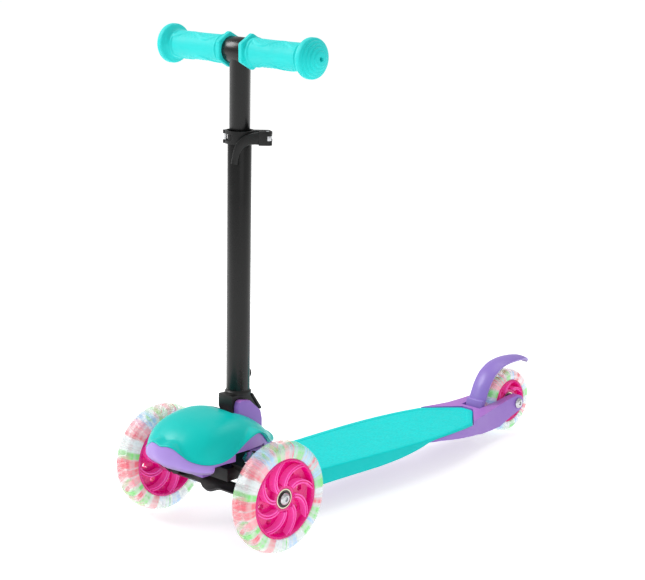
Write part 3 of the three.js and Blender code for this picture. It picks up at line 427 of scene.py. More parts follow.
@once
def deck_plastic():
    """The deck's plastic, with a pebbled tread on its upward faces, painted shade in the gaps between the
    pebbles and painted shade on its sides and underside.
    """
    colour = tuple(colours().deck)
    look = Finish("deck_plastic")
    normal = look.node("ShaderNodeNewGeometry").outputs["Normal"]
    up = look.node("ShaderNodeSeparateXYZ", {"Vector": normal}).outputs["Z"]
    on_top = look.span(up, 0.97, 0.995, 0.0, 1.0)
    spots = {"Vector": look.place, "Scale": 420.0, "Smoothness": 0.6}
    pebbles = look.node("ShaderNodeTexVoronoi", spots, feature="SMOOTH_F1")
    raised = look.math("MULTIPLY", look.math("SUBTRACT", 1.0, pebbles.outputs["Distance"]), on_top)
    cloud = look.noise(20.0, 4.0)
    base = look.mix(cloud, tinted(colour, 0.94), tinted(colour, 1.06))
    # Painted shade: the tread darkens in the gaps between the pebbles.
    pebble_gap_shade = look.span(pebbles.outputs["Distance"], 0.25, 0.75, 0.0, 0.22)
    pebble_gap_shade = look.math("MULTIPLY", pebble_gap_shade, on_top)
    # Painted shade: the deck's sides and underside darken towards half the colour.
    side_shade = look.span(up, 0.2, 0.9, 0.36, 0.0)
    look.drive("Base Color", look.mix(look.math("MAXIMUM", pebble_gap_shade, side_shade), base, tinted(colour, 0.5)))
    look.gloss(look.noise(120.0, 3.0), 0.5, 0.64)
    look.set(Specular_IOR_Level=0.2)
    fine = look.bump(look.noise(900.0, 2.0), 0.1, 0.2)
    look.drive("Normal", look.bump(raised, 0.5, 0.5, over=fine))
    return look.material


@once
def grip_rubber():
    """Soft rubber: matt, with a fine leathery grain."""
    colour = tuple(colours().grip)
    look = Finish("grip_rubber")
    look.drive("Base Color", look.mix(look.noise(30.0, 4.0), tinted(colour, 0.9), tinted(colour, 1.05)))
    look.gloss(look.noise(90.0, 3.0), 0.55, 0.7)
    look.grain(look.noise(1300.0, 3.0), 0.25, 0.3)
    look.set(Sheen_Weight=0.15, Sheen_Roughness=0.4)
    return look.material


@once
def black_paint():
    """Powder-coated tube: near black, with a slight orange-peel gloss."""
    look = Finish("black_paint")
    look.drive("Base Color", look.mix(look.noise(25.0, 3.0), grey(0.003), grey(0.006)))
    look.gloss(look.noise(50.0, 4.0), 0.22, 0.32)
    look.grain(look.noise(420.0, 2.0), 0.12, 0.3)
    look.set(Specular_IOR_Level=0.35)
    return look.material


@once
def black_plastic():
    """Black moulded nylon with a fine grain."""
    look = Finish("black_plastic")
    look.drive("Base Color", look.mix(look.noise(30.0, 3.0), grey(0.005), grey(0.010)))
    look.gloss(look.noise(60.0, 4.0), 0.4, 0.55)
    look.grain(look.noise(1000.0, 3.0), 0.3, 0.25)
    look.set(Specular_IOR_Level=0.35)
    return look.material


@once
def steel(name, tint, roughness):
    """Zinc-plated steel with a faint turned grain and handling marks."""
    look = Finish(name)
    marks = look.noise(220.0, 6.0, 0.7)
    look.drive("Base Color", look.mix(marks, tinted(tint, 0.85), tinted(tint, 1.1)))
    look.gloss(marks, roughness - 0.08, roughness + 0.1)
    look.grain(look.noise(700.0, 4.0), 0.12, 0.1)
    look.set(Metallic=1.0)
    return look.material


@once
def dark_seal():
    """The dark pressed shield of a ball bearing."""
    look = Finish("bearing_seal")
    look.drive("Base Color", look.mix(look.noise(300.0, 3.0), (0.02, 0.02, 0.02, 1), (0.05, 0.045, 0.04, 1)))
    look.gloss(look.noise(500.0, 3.0), 0.35, 0.5)
    return look.material


@once
def lamp_board():
    """The white ring that carries a wheel's lamps."""
    look = Finish("lamp_board")
    look.drive("Base Color", look.mix(look.noise(80.0, 3.0), (0.8, 0.82, 0.8, 1), (0.95, 0.96, 0.93, 1)))
    look.gloss(look.noise(200.0, 3.0), 0.45, 0.6)
    return look.material


@once
def hub_plastic(name, colour_name, glow):
    """Translucent coloured hub plastic, lit a little from inside by the wheel's lamps."""
    colour = tuple(getattr(colours(), colour_name))
    look = Finish(name)
    cloud = look.noise(45.0, 3.0)
    base = look.mix(cloud, tinted(colour, 0.88), tinted(colour, 1.08))
    look.drive("Base Color", base)
    look.drive("Emission Color", base)
    look.gloss(look.noise(150.0, 3.0), 0.2, 0.32)
    look.grain(look.noise(700.0, 2.0), 0.06, 0.2)
    look.set(Emission_Strength=glow, Coat_Weight=0.25, Coat_Roughness=0.1)
    return look.material


# Where each lamp colour starts on a scale from 0 to 1, from which every streak takes its place.
LAMP_COLOURS = (
    (0.0, (0.22, 0.78, 0.20)), (0.22, (0.90, 0.16, 0.22)), (0.48, (0.42, 0.66, 0.96)),
    (0.66, (0.78, 0.86, 0.88)), (0.76, (1.0, 0.36, 0.44)), (0.90, (0.36, 0.86, 0.48)),
)
STREAKS_PER_MM = 0.5  # streaks round a tyre, for each millimetre of its radius
GOLDEN_STEP = 0.381966  # keeps neighbouring streaks apart on the colour scale
BEAM_COVER = 0.35  # how much more solid the tyre looks in the middle of a streak


@once
def lamp_tyre(prefix, radius, rim):
    """Clear tyre with the wheel's coloured lamps showing as soft streaks from the rim outwards."""
    centre = middle(prefix + "_tyre") * MM
    look = Finish(prefix + "_tyre_glow")
    shift = {"Vector": look.place, "Location": tuple(-centre)}
    moved = look.node("ShaderNodeMapping", shift).outputs["Vector"]
    y, z = look.node("ShaderNodeSeparateXYZ", {"Vector": moved}).outputs[1:3]
    flat = look.node("ShaderNodeCombineXYZ", {"Y": y, "Z": z}).outputs["Vector"]
    out = look.node("ShaderNodeVectorMath", {0: flat}, operation="LENGTH").outputs["Value"]
    facing = look.node("ShaderNodeVectorMath", {0: flat}, operation="NORMALIZE").outputs["Vector"]
    share = look.span(out, rim * MM, radius * MM, 0.0, 1.0)
    streaks = round(radius * STREAKS_PER_MM)
    turn = look.math("DIVIDE", look.math("ARCTAN2", z, y), 2 * math.pi / streaks)
    wobble = look.span(look.noise(6.0, 2.0, 0.5, facing), 0.3, 0.7, -0.6, 0.6)
    turn = look.math("ADD", turn, wobble)
    index = look.math("FLOOR", turn)
    across = look.math("ABSOLUTE", look.math("SUBTRACT", look.math("SUBTRACT", turn, index), 0.5))
    grain = look.noise(150.0, 3.0, 0.6)
    cell = look.node("ShaderNodeCombineXYZ", {"X": index}).outputs["Vector"]
    chance = look.node("ShaderNodeTexWhiteNoise", {"Vector": cell}).outputs["Value"]
    step = look.math("MULTIPLY", index, GOLDEN_STEP)
    pick = look.math("FRACT", look.math("ADD", step, look.math("MULTIPLY", chance, 0.25)))
    bands = look.node("ShaderNodeValToRGB", {"Fac": pick})
    ramp = bands.color_ramp
    ramp.interpolation = "CONSTANT"
    while len(ramp.elements) < len(LAMP_COLOURS):
        ramp.elements.new(0.5)
    for element, (at, colour) in zip(ramp.elements, LAMP_COLOURS):
        element.position, element.color = at, colour + (1.0,)
    fine = look.noise(16.0, 2.0, 0.6, facing)
    frayed = look.math("ADD", across, look.span(fine, 0.3, 0.7, -0.1, 0.1))
    spread = {"X": look.math("MULTIPLY", share, 2.6), "Y": index}
    patches = look.node("ShaderNodeCombineXYZ", spread).outputs["Vector"]
    fading = look.span(look.noise(1.0, 1.0, 0.5, patches), 0.35, 0.62, 0.55, 1.0, smooth=True)
    beam = look.math("MULTIPLY", look.span(frayed, 0.12, 0.54, 1.0, 0.1, smooth=True), fading)
    body = look.mix(grain, (0.74, 0.80, 0.80, 1.0), (0.90, 0.93, 0.93, 1.0))
    tinted_body = look.mix(beam, body, bands.outputs["Color"])
    look.drive("Base Color", tinted_body)
    look.drive("Emission Color", tinted_body)
    reach = look.math("ADD", share, look.span(fine, 0.3, 0.7, -0.2, 0.2))
    open_edge = look.span(reach, 0.62, 1.0, 0.0, 1.0, smooth=True)
    cover = look.math("MULTIPLY", beam, BEAM_COVER)
    solid = look.math("ADD", cover, sizes().tyre_cover - BEAM_COVER)
    look.drive("Alpha", look.math("SUBTRACT", solid, look.math("MULTIPLY", open_edge, 0.4)))
    look.gloss(look.noise(160.0, 3.0), 0.16, 0.28)
    look.grain(beam, 0.1, 0.6)
    look.set(Emission_Strength=sizes().tyre_glow)
    return look.material


# ---------------------------------------------------------------- settings
def length(name, default, description):
    return FloatProperty(name=name, description=description, default=default * MM, min=0, unit="LENGTH")


def paint(name, default, description):
    return FloatVectorProperty(
        name=name, description=description, default=default, size=3, min=0, max=1, subtype="COLOR"
    )


class ScooterSizes(bpy.types.PropertyGroup):
    """Sizes of the details that a user may change."""

    hood_wall: length("Hood wall", 3.0, "Thickness of the hood's moulding")
    deck_rim: length("Deck rim", 5.0, "Width of the flat border round the deck's tread")
    deck_sink: length("Tread depth", 0.5, "How far the tread lies below the deck's border")
    grip_relief: length("Grip relief", 0.9, "Height of the pattern on the grips")
    spoke_width: length("Spoke width", 6.4, "Width of a hub's spoke over both of its ridges")
    ridge_height: length("Ridge height", 2.4, "Height of the ridges on the spokes")
    tyre_glow: FloatProperty(
        name="Tyre glow", description="Strength of the light in the tyres", default=0.12, min=0
    )
    tyre_cover: FloatProperty(
        name="Tyre cover", description="How solid the tyres look near the rim", default=0.9, min=0, max=1,
        subtype="FACTOR",
    )
    sides: IntProperty(name="Sides", description="Facets round a turned piece", default=72, min=16, max=160)


class ScooterColours(bpy.types.PropertyGroup):
    """Colours of the plastics and rubber."""

    hood: paint("Hood", (0.0, 0.60, 0.55), "Turquoise of the hood")
    deck: paint("Deck", (0.0, 0.76, 0.74), "Turquoise of the deck")
    grip: paint("Grips", (0.0, 0.72, 0.70), "Turquoise of the grips")
    frame: paint("Frame", (0.30, 0.15, 0.58), "Purple of the frame's sides")
    # Frame top is a painted highlight: a lighter purple laid on the frame's upward faces.
    frame_top: paint("Frame top", (0.46, 0.18, 0.64), "Pinker purple of the frame's upward faces")
    bumper: paint("Bumper", (0.38, 0.24, 0.70), "Lilac of the bumper")
    fender: paint("Fender", (0.30, 0.19, 0.62), "Purple of the brake fender")
    hub: paint("Hubs", (0.78, 0.0, 0.24), "Magenta of the hubs")
    # Hub ridges is a painted highlight: a lighter pink laid on the spoke ridges and the rim's edge.
    hub_edge: paint("Hub ridges", (1.0, 0.10, 0.52), "Lighter pink of the ridges on the hubs")


# ---------------------------------------------------------------- nose
HOOD_EDGE = [
    (-16, 113), (-8, 114), (0, 112.5), (8, 114), (16, 113), (24, 108.5), (32, 103), (40, 99.8), (48, 98),
    (56, 97.5), (64, 98.5), (72, 102), (80, 108), (88, 114.5), (96, 119), (106, 119.5), (114, 114),
    (122, 105), (132, 100.5), (150, 99.5), (190, 99.5),
]
NOSE_SQUARE = 2.06
NOSE_CROWN = 3
NOSE_BASE = 84
CREASE_AT, CREASE_REACH, CREASE_HEIGHT = 50, 34, 4.2  # the soft corner down each side of the nose
NOSE_COUNT = 112  # points round the nose


def nose_ring(grow, height_at, reach=1.0):
    """One ring of the nose. grow is how far it stands out, by the angle from straight ahead."""
    low, high = low_high("nose_cover")
    half, deep, mid = high.x, (high.y - low.y) / 2, (high.y + low.y) / 2

    def power(value):
        return math.copysign(abs(value) ** (2 / NOSE_SQUARE), value)

    ring = []
    for i in range(NOSE_COUNT):
        around = i / NOSE_COUNT * 2 * math.pi
        angle = math.degrees(min(around, 2 * math.pi - around))
        crease = CREASE_HEIGHT * max(0, 1 - math.hypot(angle - CREASE_AT, 1.5) / CREASE_REACH)
        stand = grow(angle) + crease
        x = (half + stand) * reach * power(math.sin(around))
        y = mid - (deep + stand) * reach * power(math.cos(around))
        ring.append((x, y, height_at(angle, y - mid)))
    return ring


def hood_edge(angle):
    return between(HOOD_EDGE, angle)


def hood_rings(levels):
    """Rings of the hood's outer face from its wavy edge up to its crown."""
    roof = low_high("nose_cover")[1].z
    rings = [nose_ring(lambda angle: 0, lambda angle, back: hood_edge(angle))]
    for k in range(1, levels + 1):
        t = k / (levels + 0.15)
        reach = math.cos(t * math.pi / 2) ** 0.8
        rise = (1 - reach**NOSE_CROWN) ** (1 / NOSE_CROWN)

        def height(angle, back, t=t, rise=rise):
            fall = 8 * (back / 70) ** 2 if back < 0 else 30 * (back / 75) ** 1.6
            on_crown = NOSE_BASE + (roof - fall - NOSE_BASE) * rise
            return max(on_crown, hood_edge(angle) + 10 * t)

        rings.append(nose_ring(lambda angle: 0, height, reach))
    return rings


class SCOOTER_OT_hood(bpy.types.Operator):
    """Makes the turquoise hood over the front truck."""

    bl_idname = "scooter.hood"
    bl_label = "Hood"

    def execute(self, context):
        bm = bmesh.new()
        loft(bm, hood_rings(26), capped=True)
        bmesh.ops.recalc_face_normals(bm, faces=bm.faces)
        bmesh.ops.solidify(bm, geom=bm.faces, thickness=sizes().hood_wall / MM)
        made = piece("hood", bm, [moulded_plastic("hood_plastic", "hood", 0.34, 0.08)], "nose_cover")
        slot = bmesh.new()
        mid = middle("nose_cover").y
        block(slot, (-18.5, mid + 12.5, 104), (18.5, mid + 120, 220))
        carve(made, slot, rounded=0.7)
        return {"FINISHED"}


class SCOOTER_OT_bumper(bpy.types.Operator):
    """Makes the lilac bumper below the hood."""

    bl_idname = "scooter.bumper"
    bl_label = "Bumper"

    def execute(self, context):
        # How far down each ring lies, out of the last one's, and how far it stands out.
        levels = [
            (0, 0), (4, 0.2), (9, 0.4), (14, 0), (19, -1.6), (24, -4.6), (28, -9), (31, -15), (33, -22),
        ]
        wall, tuck = 3.0, -3.6

        def ring(down, stand, inset):
            def grow(angle):
                side = smooth_step(angle, 52, 70)
                return (stand - inset) * (1 - side) + (tuck - inset) * side

            def height(angle, back):
                side = smooth_step(angle, 52, 70)
                top = hood_edge(angle) - 0.5
                bottom = (NOSE_BASE - 2) * (1 - side) + (NOSE_BASE + 1) * side
                share = down / levels[-1][0]
                return top + (bottom + 0.6 * inset * share - top) * share

            return nose_ring(grow, height)

        bm = bmesh.new()
        outer = [ring(down, stand, 0) for down, stand in levels]
        inner = [ring(down, stand, wall) for down, stand in reversed(levels)]
        loft(bm, outer + inner, closed=True)
        bmesh.ops.recalc_face_normals(bm, faces=bm.faces)
        # The bumper gets painted shade on its underside.
        lilac = painted_light_plastic("bumper_plastic", "bumper", "bumper", 0.38)
        made = piece("bumper", bm, [lilac], "nose_bumper")
        openings = bmesh.new()
        mid = middle("nose_cover").y
        for end in (-1, 1):
            xs = sorted((end * 35, end * 80))
            block(openings, (xs[0], mid - 15, 60), (xs[1], mid + 31, 103.5))
            block(openings, (xs[0], mid - 42, 61), (xs[1], mid - 14, 95))
        block(openings, (-26, mid + 49, 60), (26, mid + 99, 96))
        carve(made, openings, rounded=0.6)
        return {"FINISHED"}


# ---------------------------------------------------------------- deck and frame
FRONT_AXLE_Y = middle("front_left_tyre").y
DECK_FRONT, DECK_MIDDLE, DECK_TAIL = 96, 250, 372  # measured back from the front axle
COVER_EDGE = [
    (200, 33.2), (235, 35), (268, 39), (284, 42.3), (300, 43.3), (330, 42.3), (372, 40.5), (425, 39),
]
TONGUE = ((14, 411), (8.4, 417))


def board_half(y):
    """Half width of the deck, for a place measured back from the front axle."""
    s = (y - DECK_MIDDLE) / 100
    return 53.4 + 1.83 * s - 4.9 * s * s - 2.24 * s**3


def deck_top(y):
    return 47.8 - 0.03 * (y - DECK_MIDDLE)


def deck_side():
    """The right-hand outline of the deck's plan from the front to the tongue's end."""
    corner, steps = 12, 72
    points = []
    for i in range(steps + 1):
        y = DECK_FRONT + (DECK_TAIL + 3 - DECK_FRONT) * (i / steps) ** 1.15
        rest = max(0.0, 1 - (y - DECK_FRONT) / corner)
        points.append((board_half(y) - corner * (1 - math.sqrt(1 - rest * rest)), y))
    (x1, y1), (x2, y2) = TONGUE
    points += [(x1 + 1.5, y1 - 1.7), (x1 - 1.2, y1 + 1.6), (x2 + 1.2, y2 - 1.2), (x2 - 1.5, y2)]
    return points


class SCOOTER_OT_deck(bpy.types.Operator):
    """Makes the deck's turquoise cover, with a border round its pebbled tread."""

    bl_idname = "scooter.deck"
    bl_label = "Deck cover"

    def execute(self, context):
        side = deck_side()
        outline = side + [(-x, y) for x, y in reversed(side)]
        bm = bmesh.new()
        bottom = [(x, y + FRONT_AXLE_Y, between(COVER_EDGE, y)) for x, y in outline]
        top = [(x, y + FRONT_AXLE_Y, deck_top(y)) for x, y in outline]
        loft(bm, [bottom, top], capped=True)
        bmesh.ops.recalc_face_normals(bm, faces=bm.faces)
        lid = max(bm.faces, key=lambda f: f.calc_area())
        bevel_edges(bm, list(lid.edges), 2.2, 4)
        lid = max(bm.faces, key=lambda f: f.calc_area())
        width, depth = sizes().deck_rim / MM, sizes().deck_sink / MM
        bmesh.ops.inset_region(bm, faces=[lid], thickness=width, use_even_offset=True)
        bmesh.ops.inset_region(bm, faces=[lid], thickness=0.6, depth=-depth, use_even_offset=True)
        bmesh.ops.solidify(bm, geom=bm.faces, thickness=2.6)
        piece("deck_board", bm, [deck_plastic()], "deck_cover", smooth=30)
        return {"FINISHED"}


class SCOOTER_OT_frame(bpy.types.Operator):
    """Makes the purple chassis with its fork, and the bracket that holds the stem."""

    bl_idname = "scooter.frame"
    bl_label = "Frame"

    def execute(self, context):
        # The frame gets painted light on its upward faces and painted shade on its underside.
        purple = painted_light_plastic("frame_plastic", "frame", "frame_top", 0.36)
        rounded_copy("chassis", "chassis_frame", purple, 1.1, angle=40, segments=3)
        rounded_copy("stem_ears", "stem_bracket", purple, 1.6, angle=30, segments=3)
        return {"FINISHED"}


# ---------------------------------------------------------------- brake fender
FENDER_CROWN = [
    (430.5, 45.5), (435, 56.5), (442.3, 70.8), (451.3, 81.8), (460.5, 88), (472.5, 92.8), (491.6, 95),
    (512.5, 93.3), (524, 89.5), (532, 82.5),
]


class SCOOTER_OT_fender(bpy.types.Operator):
    """Makes the curved brake fender over the rear wheel."""

    bl_idname = "scooter.fender"
    bl_label = "Brake fender"

    def execute(self, context):
        crown = [Vector((0, y + FRONT_AXLE_Y, z)) for y, z in FENDER_CROWN]
        travel = [0.0]
        for a, b in zip(crown, crown[1:]):
            travel.append(travel[-1] + (b - a).length)
        ys, zs = ([(s / travel[-1], p[axis]) for s, p in zip(travel, crown)] for axis in (1, 2))

        def on_crown(t):
            t = min(1, max(0, t))
            return Vector((0, between(ys, t), between(zs, t)))

        half_width, drop = 13.0, 3.0
        bm = bmesh.new()
        verts = bmesh.ops.create_grid(bm, x_segments=72, y_segments=14, size=1)["verts"]
        for vert in verts:
            t, s = (vert.co.x + 1) / 2, vert.co.y
            along = (on_crown(t + 0.01) - on_crown(t - 0.01)).normalized()
            inward = Vector((0, along.z, -along.y))
            taper = max(0, (t - 0.66) / 0.34)
            half = half_width * math.sqrt(1 - 0.93 * taper * taper)
            fall = drop * (half / half_width) ** 2 * s * s
            vert.co = on_crown(t) + inward * fall + Vector((s * half, 0, 0))
        bmesh.ops.recalc_face_normals(bm, faces=bm.faces)
        if sum(f.normal.z for f in bm.faces) < 0:
            bmesh.ops.reverse_faces(bm, faces=bm.faces)
        bmesh.ops.solidify(bm, geom=bm.faces, thickness=3.0)
        round_edges(bm, 0.9, angle=50, segments=3)
        pivot = middle("fender_pin")
        inside = 13.9
        bulk = bmesh.ops.create_cube(bm, size=1)["verts"]
        for vert in bulk:
            low = vert.co.z < 0
            y = (-4.5 if vert.co.y < 0 else 5) if low else (0.2 if vert.co.y < 0 else 5.2)
            vert.co = Vector((vert.co.x * 2 * (inside - 1), pivot.y + y, pivot.z + (0 if low else 18)))
        round_edges(bm, 1.2, angle=30, segments=2, faces={f for v in bulk for f in v.link_faces})
        barrel = [(2.8, -inside), (5.3, -inside), (6, -inside + 0.7), (6, 2.8), (5.3, 3.5), (2.8, 3.5)]
        turned(bm, barrel, pivot)
        # The fender gets painted shade on its underside.
        purple = painted_light_plastic("fender_plastic", "fender", "fender", 0.34)
        piece("foot_brake", bm, [purple], "brake_fender")
        return {"FINISHED"}


# ---------------------------------------------------------------- wheels
SPOKE_SWEEP, SPOKE_BEND = -40, 1.4  # degrees that a spoke leans back by the rim, and how it bends


def spoke_lean(t):
    """How far a spoke has leaned back, by its share of the way out."""
    return math.radians(SPOKE_SWEEP) * t**SPOKE_BEND


def wheel_sizes(prefix):
    low, high = low_high(prefix + "_tyre")
    hub_low, hub_high = low_high(prefix + "_hub")
    return middle(prefix + "_tyre"), (high.z - low.z) / 2, (hub_high.z - hub_low.z) / 2, (high.x - low.x) / 2


class SCOOTER_OT_hubs(bpy.types.Operator):
    """Makes the magenta hubs: a rim, a dished web with windows and curved double-ridged spokes."""

    bl_idname = "scooter.hubs"
    bl_label = "Hubs"

    def execute(self, context):
        for prefix in WHEELS:
            self.make_hub(prefix, 8 if prefix != "rear" else 6)
        return {"FINISHED"}

    def make_hub(self, prefix, spokes):
        centre, radius, rim, half = wheel_sizes(prefix)
        sides = sizes().sides
        boss, bore, seat = 15.0, 9.5, 11.3
        wall = rim - 3.2
        face = half - 0.4
        lip = 1.0
        # Half of the section, from the bore outwards; the other half is its mirror.
        section = [
            (bore, -2), (seat, -2.2), (seat, -9), (boss - 1, -9), (boss, -8), (boss + 1.6, -3.4),
            (wall - 4, -2.4), (wall - 1.2, -4), (wall, -face + lip), (wall + lip, -face),
            (rim - lip, -face), (rim, -face + lip), (rim, -4.4), (rim - 2.7, -4.4),
        ]
        profile = section + [(r, -at) for r, at in reversed(section)]
        bm = bmesh.new()
        turned(bm, profile, centre, segments=sides)
        deep = hub_plastic("hub_plastic", "hub", 0.10)
        # The ridge material is a painted highlight, lighter and glowing a little more than the hub.
        edge = hub_plastic("hub_edge_plastic", "hub_edge", 0.12)
        made = piece(prefix + "_hub_cast", bm, [deep, edge], prefix + "_hub")
        windows = bmesh.new()
        at, hole = (boss + wall) / 2 + 0.5, radius / 18
        for i in range(spokes):
            angle = (i + 0.5) / spokes * 2 * math.pi + spoke_lean(0.5)
            spot = centre + Vector((0, at * math.cos(angle), at * math.sin(angle)))
            bmesh.ops.create_cone(
                windows, cap_ends=True, segments=20, radius1=hole, radius2=hole, depth=40,
                matrix=Matrix.Translation(spot) @ Matrix.Rotation(math.pi / 2, 4, "Y"),
            )
        carve(made, windows)
        bm = bmesh.new()
        bm.from_mesh(made.data)
        resize(bm, 1 / MM)
        self.add_spokes(bm, centre, spokes, boss, wall, face)
        # A ring on the rim's edge, on both faces, in the painted highlight colour of the ridges.
        ring = ((wall + 0.9, face - 0.5), (wall + 1.7, face), (rim - 1.1, face), (rim - 0.5, face - 0.6))
        for side in (-1, 1):
            turned(bm, [(r, side * at) for r, at in ring], centre, segments=sides, mat=1)
        resize(bm, MM)
        bm.to_mesh(made.data)
        bm.free()
        shade(made.data, SHARP_FROM)

    def add_spokes(self, bm, centre, spokes, boss, wall, face):
        """Lays each spoke as a bar with a ridge along both of its edges, on both faces, the ridges in a
        painted highlight colour.
        """
        half_width = sizes().spoke_width / MM / 2
        ridge, ridge_half = sizes().ridge_height / MM, 0.9
        for i in range(spokes):
            start = i / spokes * 2 * math.pi
            for side in (-1, 1):

                def place(t, across, height, shift=0.0, half=half_width, side=side, start=start):
                    radius = boss - 0.6 + (wall - boss + 1.0) * t
                    taper = 0.62 + 0.38 * t
                    wide = half * taper if shift == 0 else half
                    angle = start + spoke_lean(t) + (shift * taper + across * wide) / radius
                    return (
                        centre.x + side * height,
                        centre.y + radius * math.cos(angle),
                        centre.z + radius * math.sin(angle),
                    )

                strap(bm, place, 2.0, face - ridge, 12)
                for shift in (ridge_half - half_width, half_width - ridge_half):

                    def beside(t, across, height, place=place, shift=shift):
                        return place(t, across, height, shift, ridge_half)

                    # The ridges take the painted highlight material.
                    strap(bm, beside, 3.0, face - 0.5, 12, mat=1, round_by=0.6)


class SCOOTER_OT_tyres(bpy.types.Operator):
    """Makes the clear tyres that the lamps shine through."""

    bl_idname = "scooter.tyres"
    bl_label = "Tyres"

    def execute(self, context):
        for prefix in WHEELS:
            centre, radius, rim, half = wheel_sizes(prefix)
            inner, across, crown = rim + FIT, half - 0.2, 8
            shoulder = radius - crown
            profile = [(inner, -across + 0.8), (inner + 1, -across), (shoulder, -across)]
            for step in range(1, 8):
                turn = step / 8 * math.pi
                profile.append((shoulder + crown * math.sin(turn) ** 0.8, -across * math.cos(turn)))
            profile += [(shoulder, across), (inner + 1, across), (inner, across - 0.8)]
            bm = bmesh.new()
            turned(bm, profile, centre, segments=96)
            clear = lamp_tyre(prefix, radius, rim)
            piece(prefix + "_clear_tyre", bm, [clear], prefix + "_tyre", smooth=60)
            finish_node(prefix + "_led_ring", lamp_board())
        return {"FINISHED"}


class SCOOTER_OT_bearings(bpy.types.Operator):
    """Makes the ball bearings in the hubs, each with its shield."""

    bl_idname = "scooter.bearings"
    bl_label = "Bearings"

    def execute(self, context):
        races = steel("bearing_steel", (0.72, 0.64, 0.50), 0.22)
        for prefix in WHEELS:
            for side in ("left", "right"):
                node = f"{prefix}_bearing_{side}"
                low, high = low_high(node)
                out, depth = 1 if side == "left" else -1, (high.x - low.x) / 2
                outer = [(9.4, -depth), (11, -depth), (11, depth - 0.4), (10.7, depth), (9.4, depth)]
                inner = [(4.2, -depth), (6.1, -depth), (6.1, depth), (4.5, depth), (4.2, depth - 0.3)]
                seal = [(6.1, depth - 1.5), (9.4, depth - 1.5), (9.4, depth - 0.7), (6.1, depth - 0.7)]
                bm = bmesh.new()
                for section, mat in ((outer, 0), (inner, 0), (seal, 1)):
                    turned(bm, [(r, at * out) for r, at in section], middle(node), mat=mat)
                piece(node + "_race", bm, [races, dark_seal()], node)
        return {"FINISHED"}


# ---------------------------------------------------------------- stem, clamp and handlebar
class SCOOTER_OT_stem(bpy.types.Operator):
    """Makes the stem: its tubes, its folding foot and the release button."""

    bl_idname = "scooter.stem"
    bl_label = "Stem"

    def execute(self, context):
        rounded_copy("stem_tube", "lower_tube", black_paint(), 0.4, angle=40)
        rounded_copy("handlebar_tube", "bar_tube", black_paint(), 0.3, angle=40)
        rounded_copy("stem_foot", "fold_block", black_plastic(), 1.2, angle=35, segments=3)
        rounded_copy("foot_latch", "fold_latch", black_plastic(), 0.7)
        rounded_copy("height_button", "release_button", black_plastic(), 0.4)
        return {"FINISHED"}


class SCOOTER_OT_clamp(bpy.types.Operator):
    """Makes the quick-release clamp and its lever."""

    bl_idname = "scooter.clamp"
    bl_label = "Clamp"

    def execute(self, context):
        for node, name in (("clamp_front", "collar_front"), ("clamp_rear", "collar_rear")):
            rounded_copy(name, node, black_plastic(), 0.6, segments=3)
        rounded_copy("clamp_handle", "clamp_lever", black_plastic(), 0.7, segments=3)
        return {"FINISHED"}


class SCOOTER_OT_grips(bpy.types.Operator):
    """Makes the rubber grips: a hexagonal flange, a raised wave pattern and a ringed end."""

    bl_idname = "scooter.grips"
    bl_label = "Grips"

    def execute(self, context):
        for side in ("left", "right"):
            self.make_grip(side, 1 if side == "left" else -1)
        return {"FINISHED"}

    def outer_radius(self, at, angle):
        """Radius of the grip by the distance from the scooter's middle and the angle round it."""
        relief = sizes().grip_relief / MM
        if at < 20:
            flat = 16.4 / math.cos((angle + math.pi / 6) % (math.pi / 3) - math.pi / 6)
            return min(flat, 18.6) - 0.6 * smooth_step(at, 19, 20) - 0.8 * (1 - smooth_step(at, 14, 15))
        body = 14.6 - 0.3 * math.sin((at - 20) / 76 * math.pi)
        wave = 0.0
        turn = angle * 3
        for row in range(3):
            mid = math.sin((at - 22) / 74 * 2 * math.pi * 1.5 + row * 2.1) * 0.9
            gap = abs((turn - row * 2 * math.pi + mid + math.pi) % (6 * math.pi) - math.pi)
            wave = max(wave, 1 - smooth_step(gap, 0.22, 0.55))
        inside = smooth_step(at, 23, 27) * (1 - smooth_step(at, 91, 95))
        frame_line = max(1 - smooth_step(abs(at - edge), 0.5, 1.3) for edge in (24.5, 92.5))
        dots = max(0.0, math.sin(at * 1.25) * math.sin(angle * 15)) ** 2
        panel = smooth_step(math.cos(angle * 3), 0.1, 0.5)
        return body + relief * max(wave * inside, frame_line, 0.45 * dots * inside * panel)

    def make_grip(self, side, out):
        node = "grip_" + side
        centre = middle(node)
        start, stop, apart, count = 14, 96, 0.75, 120
        # The flange and the ringed end, as distances along the bar and radii.
        end = [
            (97.5, 15.2), (99, 17.2), (99.8, 19.6), (100.6, 20.5), (102, 21), (106, 21),
            (107.4, 20.5), (108, 19.6), (108.3, 18.4), (109.6, 18.1), (110.3, 17.6), (110.7, 16.4),
            (110.9, 15.4), (112.1, 15.1), (112.8, 14.6), (113.2, 13.4), (113.4, 12.2), (114.6, 11.9),
            (115.2, 11.4), (115.6, 10.2), (115.8, 8.6), (116.7, 8.2), (117.2, 7.4), (117.5, 6),
            (117.6, 2.6), (117.2, 2.3), (110, 2.25), (110, 0.4),
        ]
        rings = []

        def ring(at, radius_of):
            turns = [k / count * 2 * math.pi for k in range(count)]
            around = [(radius_of(angle), angle) for angle in turns]
            rings.append([
                (out * at, centre.y + r * math.cos(angle), centre.z + r * math.sin(angle))
                for r, angle in around
            ])

        ring(start, lambda a: 11.4)
        for k in range(int((stop - start) / apart) + 1):
            at = start + apart * k
            ring(at, lambda a, at=at: self.outer_radius(at, a))
        for at, radius in end:
            ring(at, lambda a, radius=radius: radius)
        bm = bmesh.new()
        loft(bm, rings, capped=True)
        bmesh.ops.recalc_face_normals(bm, faces=bm.faces)
        piece(node + "_rubber", bm, [grip_rubber()], node, smooth=50)


